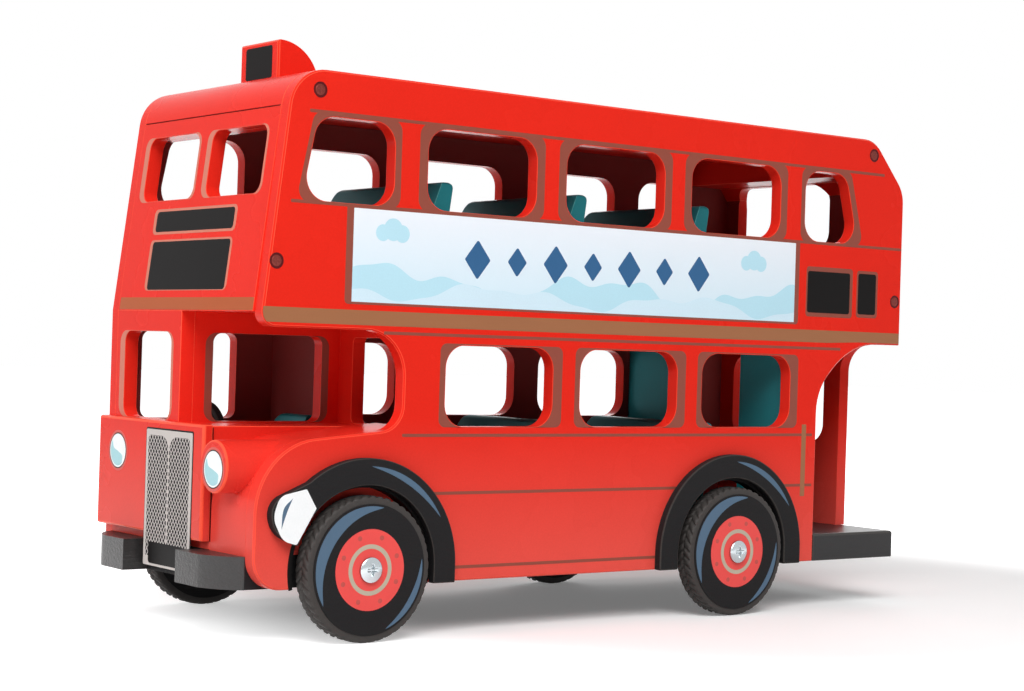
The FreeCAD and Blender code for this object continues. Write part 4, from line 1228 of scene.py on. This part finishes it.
class TOYBUS_OT_arch_prints(bpy.types.Operator):
    """Prints the shine on the wheel arches, the painted shade at the edge of the wheel openings and
    the white nose of the front arches"""
    bl_idname = "toybus.arch_prints"
    bl_label = "Arch prints"

    def execute(self, context):
        h = settings("ink").height
        for wheel, sign in WHEELS:
            pivot, face = PIVOT["wheel_" + wheel], wheel_surface("wheel_arch_", wheel, sign)
            add_piece("arch_shine_" + wheel, [crescent(*ARCH_SHINE, face, h)],
                      ink("shine"))
            # Painted shade in the gap between the opening and the arch.
            inner, outer = (arc(radius, *GAP_ARC) for radius in GAP_RADII)
            add_piece("wheel_gap_" + wheel,
                      [slab(inner, outer, side_surface(sign, pivot.x, pivot.z), 0, h)],
                      finish("wheel_bay_black"))
            if wheel.startswith("rear"):
                continue
            flat = facing_side(sign, face.origin[1])
            add_piece("arch_nose_" + wheel, [filled(rounded(NOSE_OUTLINE, NOSE_RADII), flat, 0, h)],
                      ink("lamp_white"))
            outer, inner = (smooth_curve(points, 24) for points in NOSE_SHINE)
            add_piece("arch_nose_shine_" + wheel, [slab(inner, outer, flat, h, 2 * h)],
                      ink("shine"))
        return {"FINISHED"}


# ---- Studio ---------------------------------------------------------------------------------
# Metres and degrees. The lights: name, size and place.
LOOKED_AT = Vector((0, 0, 0.11))
LIGHTS = (("key", 1.2, (0.75, 1.15, 1.4)), ("front", 1.0, (1.6, -0.1, 0.85)),
          ("back", 1.2, (-1.3, -1.2, 1.1)))
CAMERA_PLACE = (0.5784, 0.7437, 0.1196)
CAMERA_TURN, CAMERA_RISE, CAMERA_ROLL = 37.62, 0.10, 1.80
FLOOR_REACH, FLOOR_TONES = 6.0, ((0.90, 0.90, 0.90), (0.94, 0.94, 0.94))
# The floor's glow, a painted light that only the camera and reflections see, grows from its least
# value with the distance from a point, in metres. The least value lightens the floor's shadow
# near the bus, and the point, set towards the rear, keeps that shadow darker behind the bus.
GLOW_MIDDLE, GLOW_FADE, GLOW_SHADOW_LIFT = (-0.14, 0, 0), (0.2, 0.36), 0.16
WHITE = (1, 1, 1, 1)


def seen_directly(tree):
    """1 for what the camera, mirrors and glass see, 0 for what lights the object."""
    path = node(tree, "ShaderNodeLightPath").outputs
    return maths(tree, "MAXIMUM", path["Is Camera Ray"],
                 maths(tree, "MAXIMUM", path["Is Glossy Ray"], path["Is Transmission Ray"]))


class TOYBUS_OT_studio(bpy.types.Operator):
    """Lays the pale floor, lights it softly and stands the camera"""
    bl_idname = "toybus.studio"
    bl_label = "Studio"

    def execute(self, context):
        context.scene.view_settings.view_transform = "Standard"
        self.room(context.scene)
        self.floor(context.scene)
        self.lights(context.scene)
        self.camera(context.scene)
        return {"FINISHED"}

    def room(self, scene):
        """Faint white light from all round, seen as plain white."""
        scene.world = bpy.data.worlds.new("pale_room")
        scene.world.use_nodes = True
        tree = scene.world.node_tree
        tree.nodes.clear()
        light = node(tree, "ShaderNodeBackground",
                     {"Color": WHITE, "Strength": settings("studio").room})
        seen = node(tree, "ShaderNodeBackground", {"Color": WHITE})
        mix, out = node(tree, "ShaderNodeMixShader"), node(tree, "ShaderNodeOutputWorld")
        wire(tree, (seen_directly(tree), mix.inputs[0]), (light.outputs[0], mix.inputs[1]),
             (seen.outputs[0], mix.inputs[2]), (mix.outputs[0], out.inputs["Surface"]))

    def floor(self, scene):
        """Pale square that glows to the eye away from the bus, so that it ends in white. Near the bus
        the glow is a painted light that lightens the shadow on the floor.
        """
        material, tree, shader = plain_material("pale_floor")
        preset(shader, {"Roughness": 0.9, "Specular IOR Level": 0.1})
        place = object_place(tree)
        tone = mix_colours(tree, noise(tree, place, 40.0), *FLOOR_TONES)
        aside = node(tree, "ShaderNodeVectorMath", {1: GLOW_MIDDLE}, operation="SUBTRACT")
        away = node(tree, "ShaderNodeVectorMath", operation="LENGTH")
        near, far = GLOW_FADE
        fade = node(tree, "ShaderNodeMapRange", {
            "From Min": near, "From Max": far, "To Min": GLOW_SHADOW_LIFT,
            "To Max": settings("studio").floor_glow}, interpolation_type="SMOOTHSTEP")
        glow = node(tree, "ShaderNodeEmission", {"Color": WHITE})
        both = node(tree, "ShaderNodeAddShader")
        wire(tree, (place, aside.inputs[0]), (aside.outputs[0], away.inputs[0]),
             (away.outputs["Value"], fade.inputs["Value"]),
             (maths(tree, "MULTIPLY", seen_directly(tree), fade.outputs["Result"]),
              glow.inputs["Strength"]),
             (tone, shader.inputs["Base Color"]), (shader.outputs[0], both.inputs[0]),
             (glow.outputs[0], both.inputs[1]),
             (both.outputs[0], tree.nodes["Material Output"].inputs["Surface"]))
        mesh = bpy.data.meshes.new("floor")
        mesh.from_pydata([(x, y, 0) for x, y in rectangle(-FLOOR_REACH, FLOOR_REACH, -FLOOR_REACH,
                                                          FLOOR_REACH)], [], [(0, 1, 2, 3)])
        mesh.materials.append(material)
        floor = bpy.data.objects.new("floor", mesh)
        scene.collection.objects.link(floor)

    def lights(self, scene):
        """Soft panels, each looking at the middle of the bus."""
        for name, size, place in LIGHTS:
            data = bpy.data.lights.new(name, "AREA")
            data.energy, data.size = getattr(settings("studio"), name + "_power"), size
            lamp = bpy.data.objects.new(name, data)
            lamp.location = place
            aim = (LOOKED_AT - Vector(place)).to_track_quat("-Z", "Y")
            lamp.rotation_euler = aim.to_euler()
            scene.collection.objects.link(lamp)

    def camera(self, scene):
        """Stands ahead of the bus on its nearside, turned from straight across it towards the
        rear by CAMERA_TURN degrees, nearly level and slightly rolled."""
        data = bpy.data.cameras.new("camera")
        data.lens, data.sensor_width, data.clip_start = settings("studio").lens, 36.0, 0.01
        turn, rise, roll = (math.radians(a) for a in (CAMERA_TURN, CAMERA_RISE, CAMERA_ROLL))
        forward = Vector((-math.sin(turn) * math.cos(rise), -math.cos(turn) * math.cos(rise),
                          math.sin(rise)))
        level = Vector((-math.cos(turn), math.sin(turn), 0))
        upright = level.cross(forward)
        right = math.cos(roll) * level + math.sin(roll) * upright
        up = math.cos(roll) * upright - math.sin(roll) * level
        turned = Matrix((right, up, -forward)).transposed().to_4x4()
        camera = bpy.data.objects.new("camera", data)
        camera.matrix_world = Matrix.Translation(CAMERA_PLACE) @ turned
        scene.collection.objects.link(camera)
        scene.camera = camera


class TOYBUS_PT_sidebar(bpy.types.Panel):
    """Settings and steps of the toy bus"""
    bl_idname = "TOYBUS_PT_sidebar"
    bl_label = "Toy Bus"
    bl_space_type = "VIEW_3D"
    bl_region_type = "UI"
    bl_category = "Toy Bus"

    def draw(self, context):
        for group in GROUPS:
            box = self.layout.box()
            box.label(text=group.title())
            for key in GROUPS[group].__annotations__:
                box.prop(settings(group), key)
        for step in STEPS:
            self.layout.operator(step.bl_idname)


GROUPS = {"paint": ToyBusPaint, "ink": ToyBusInk, "wheels": ToyBusWheels, "studio": ToyBusStudio}
STEPS = (TOYBUS_OT_boards, TOYBUS_OT_side_lines, TOYBUS_OT_side_signs, TOYBUS_OT_pale_panels,
         TOYBUS_OT_front_prints, TOYBUS_OT_radiator, TOYBUS_OT_bumpers, TOYBUS_OT_lamps,
         TOYBUS_OT_wheel_prints, TOYBUS_OT_tyres, TOYBUS_OT_wheel_screws, TOYBUS_OT_arch_prints,
         TOYBUS_OT_panel_screws, TOYBUS_OT_studio)


def register():
    for made in (*GROUPS.values(), *STEPS, TOYBUS_PT_sidebar):
        bpy.utils.register_class(made)
    for group, kind in GROUPS.items():
        setattr(bpy.types.Scene, "toy_bus_" + group, PointerProperty(type=kind))


def unregister():
    for group in GROUPS:
        delattr(bpy.types.Scene, "toy_bus_" + group)
    for made in reversed((*GROUPS.values(), *STEPS, TOYBUS_PT_sidebar)):
        bpy.utils.unregister_class(made)


def main():
    register()
    for step in STEPS:
        family, action = step.bl_idname.split(".")
        getattr(getattr(bpy.ops, family), action)()


if __name__ == "__main__":
    main()
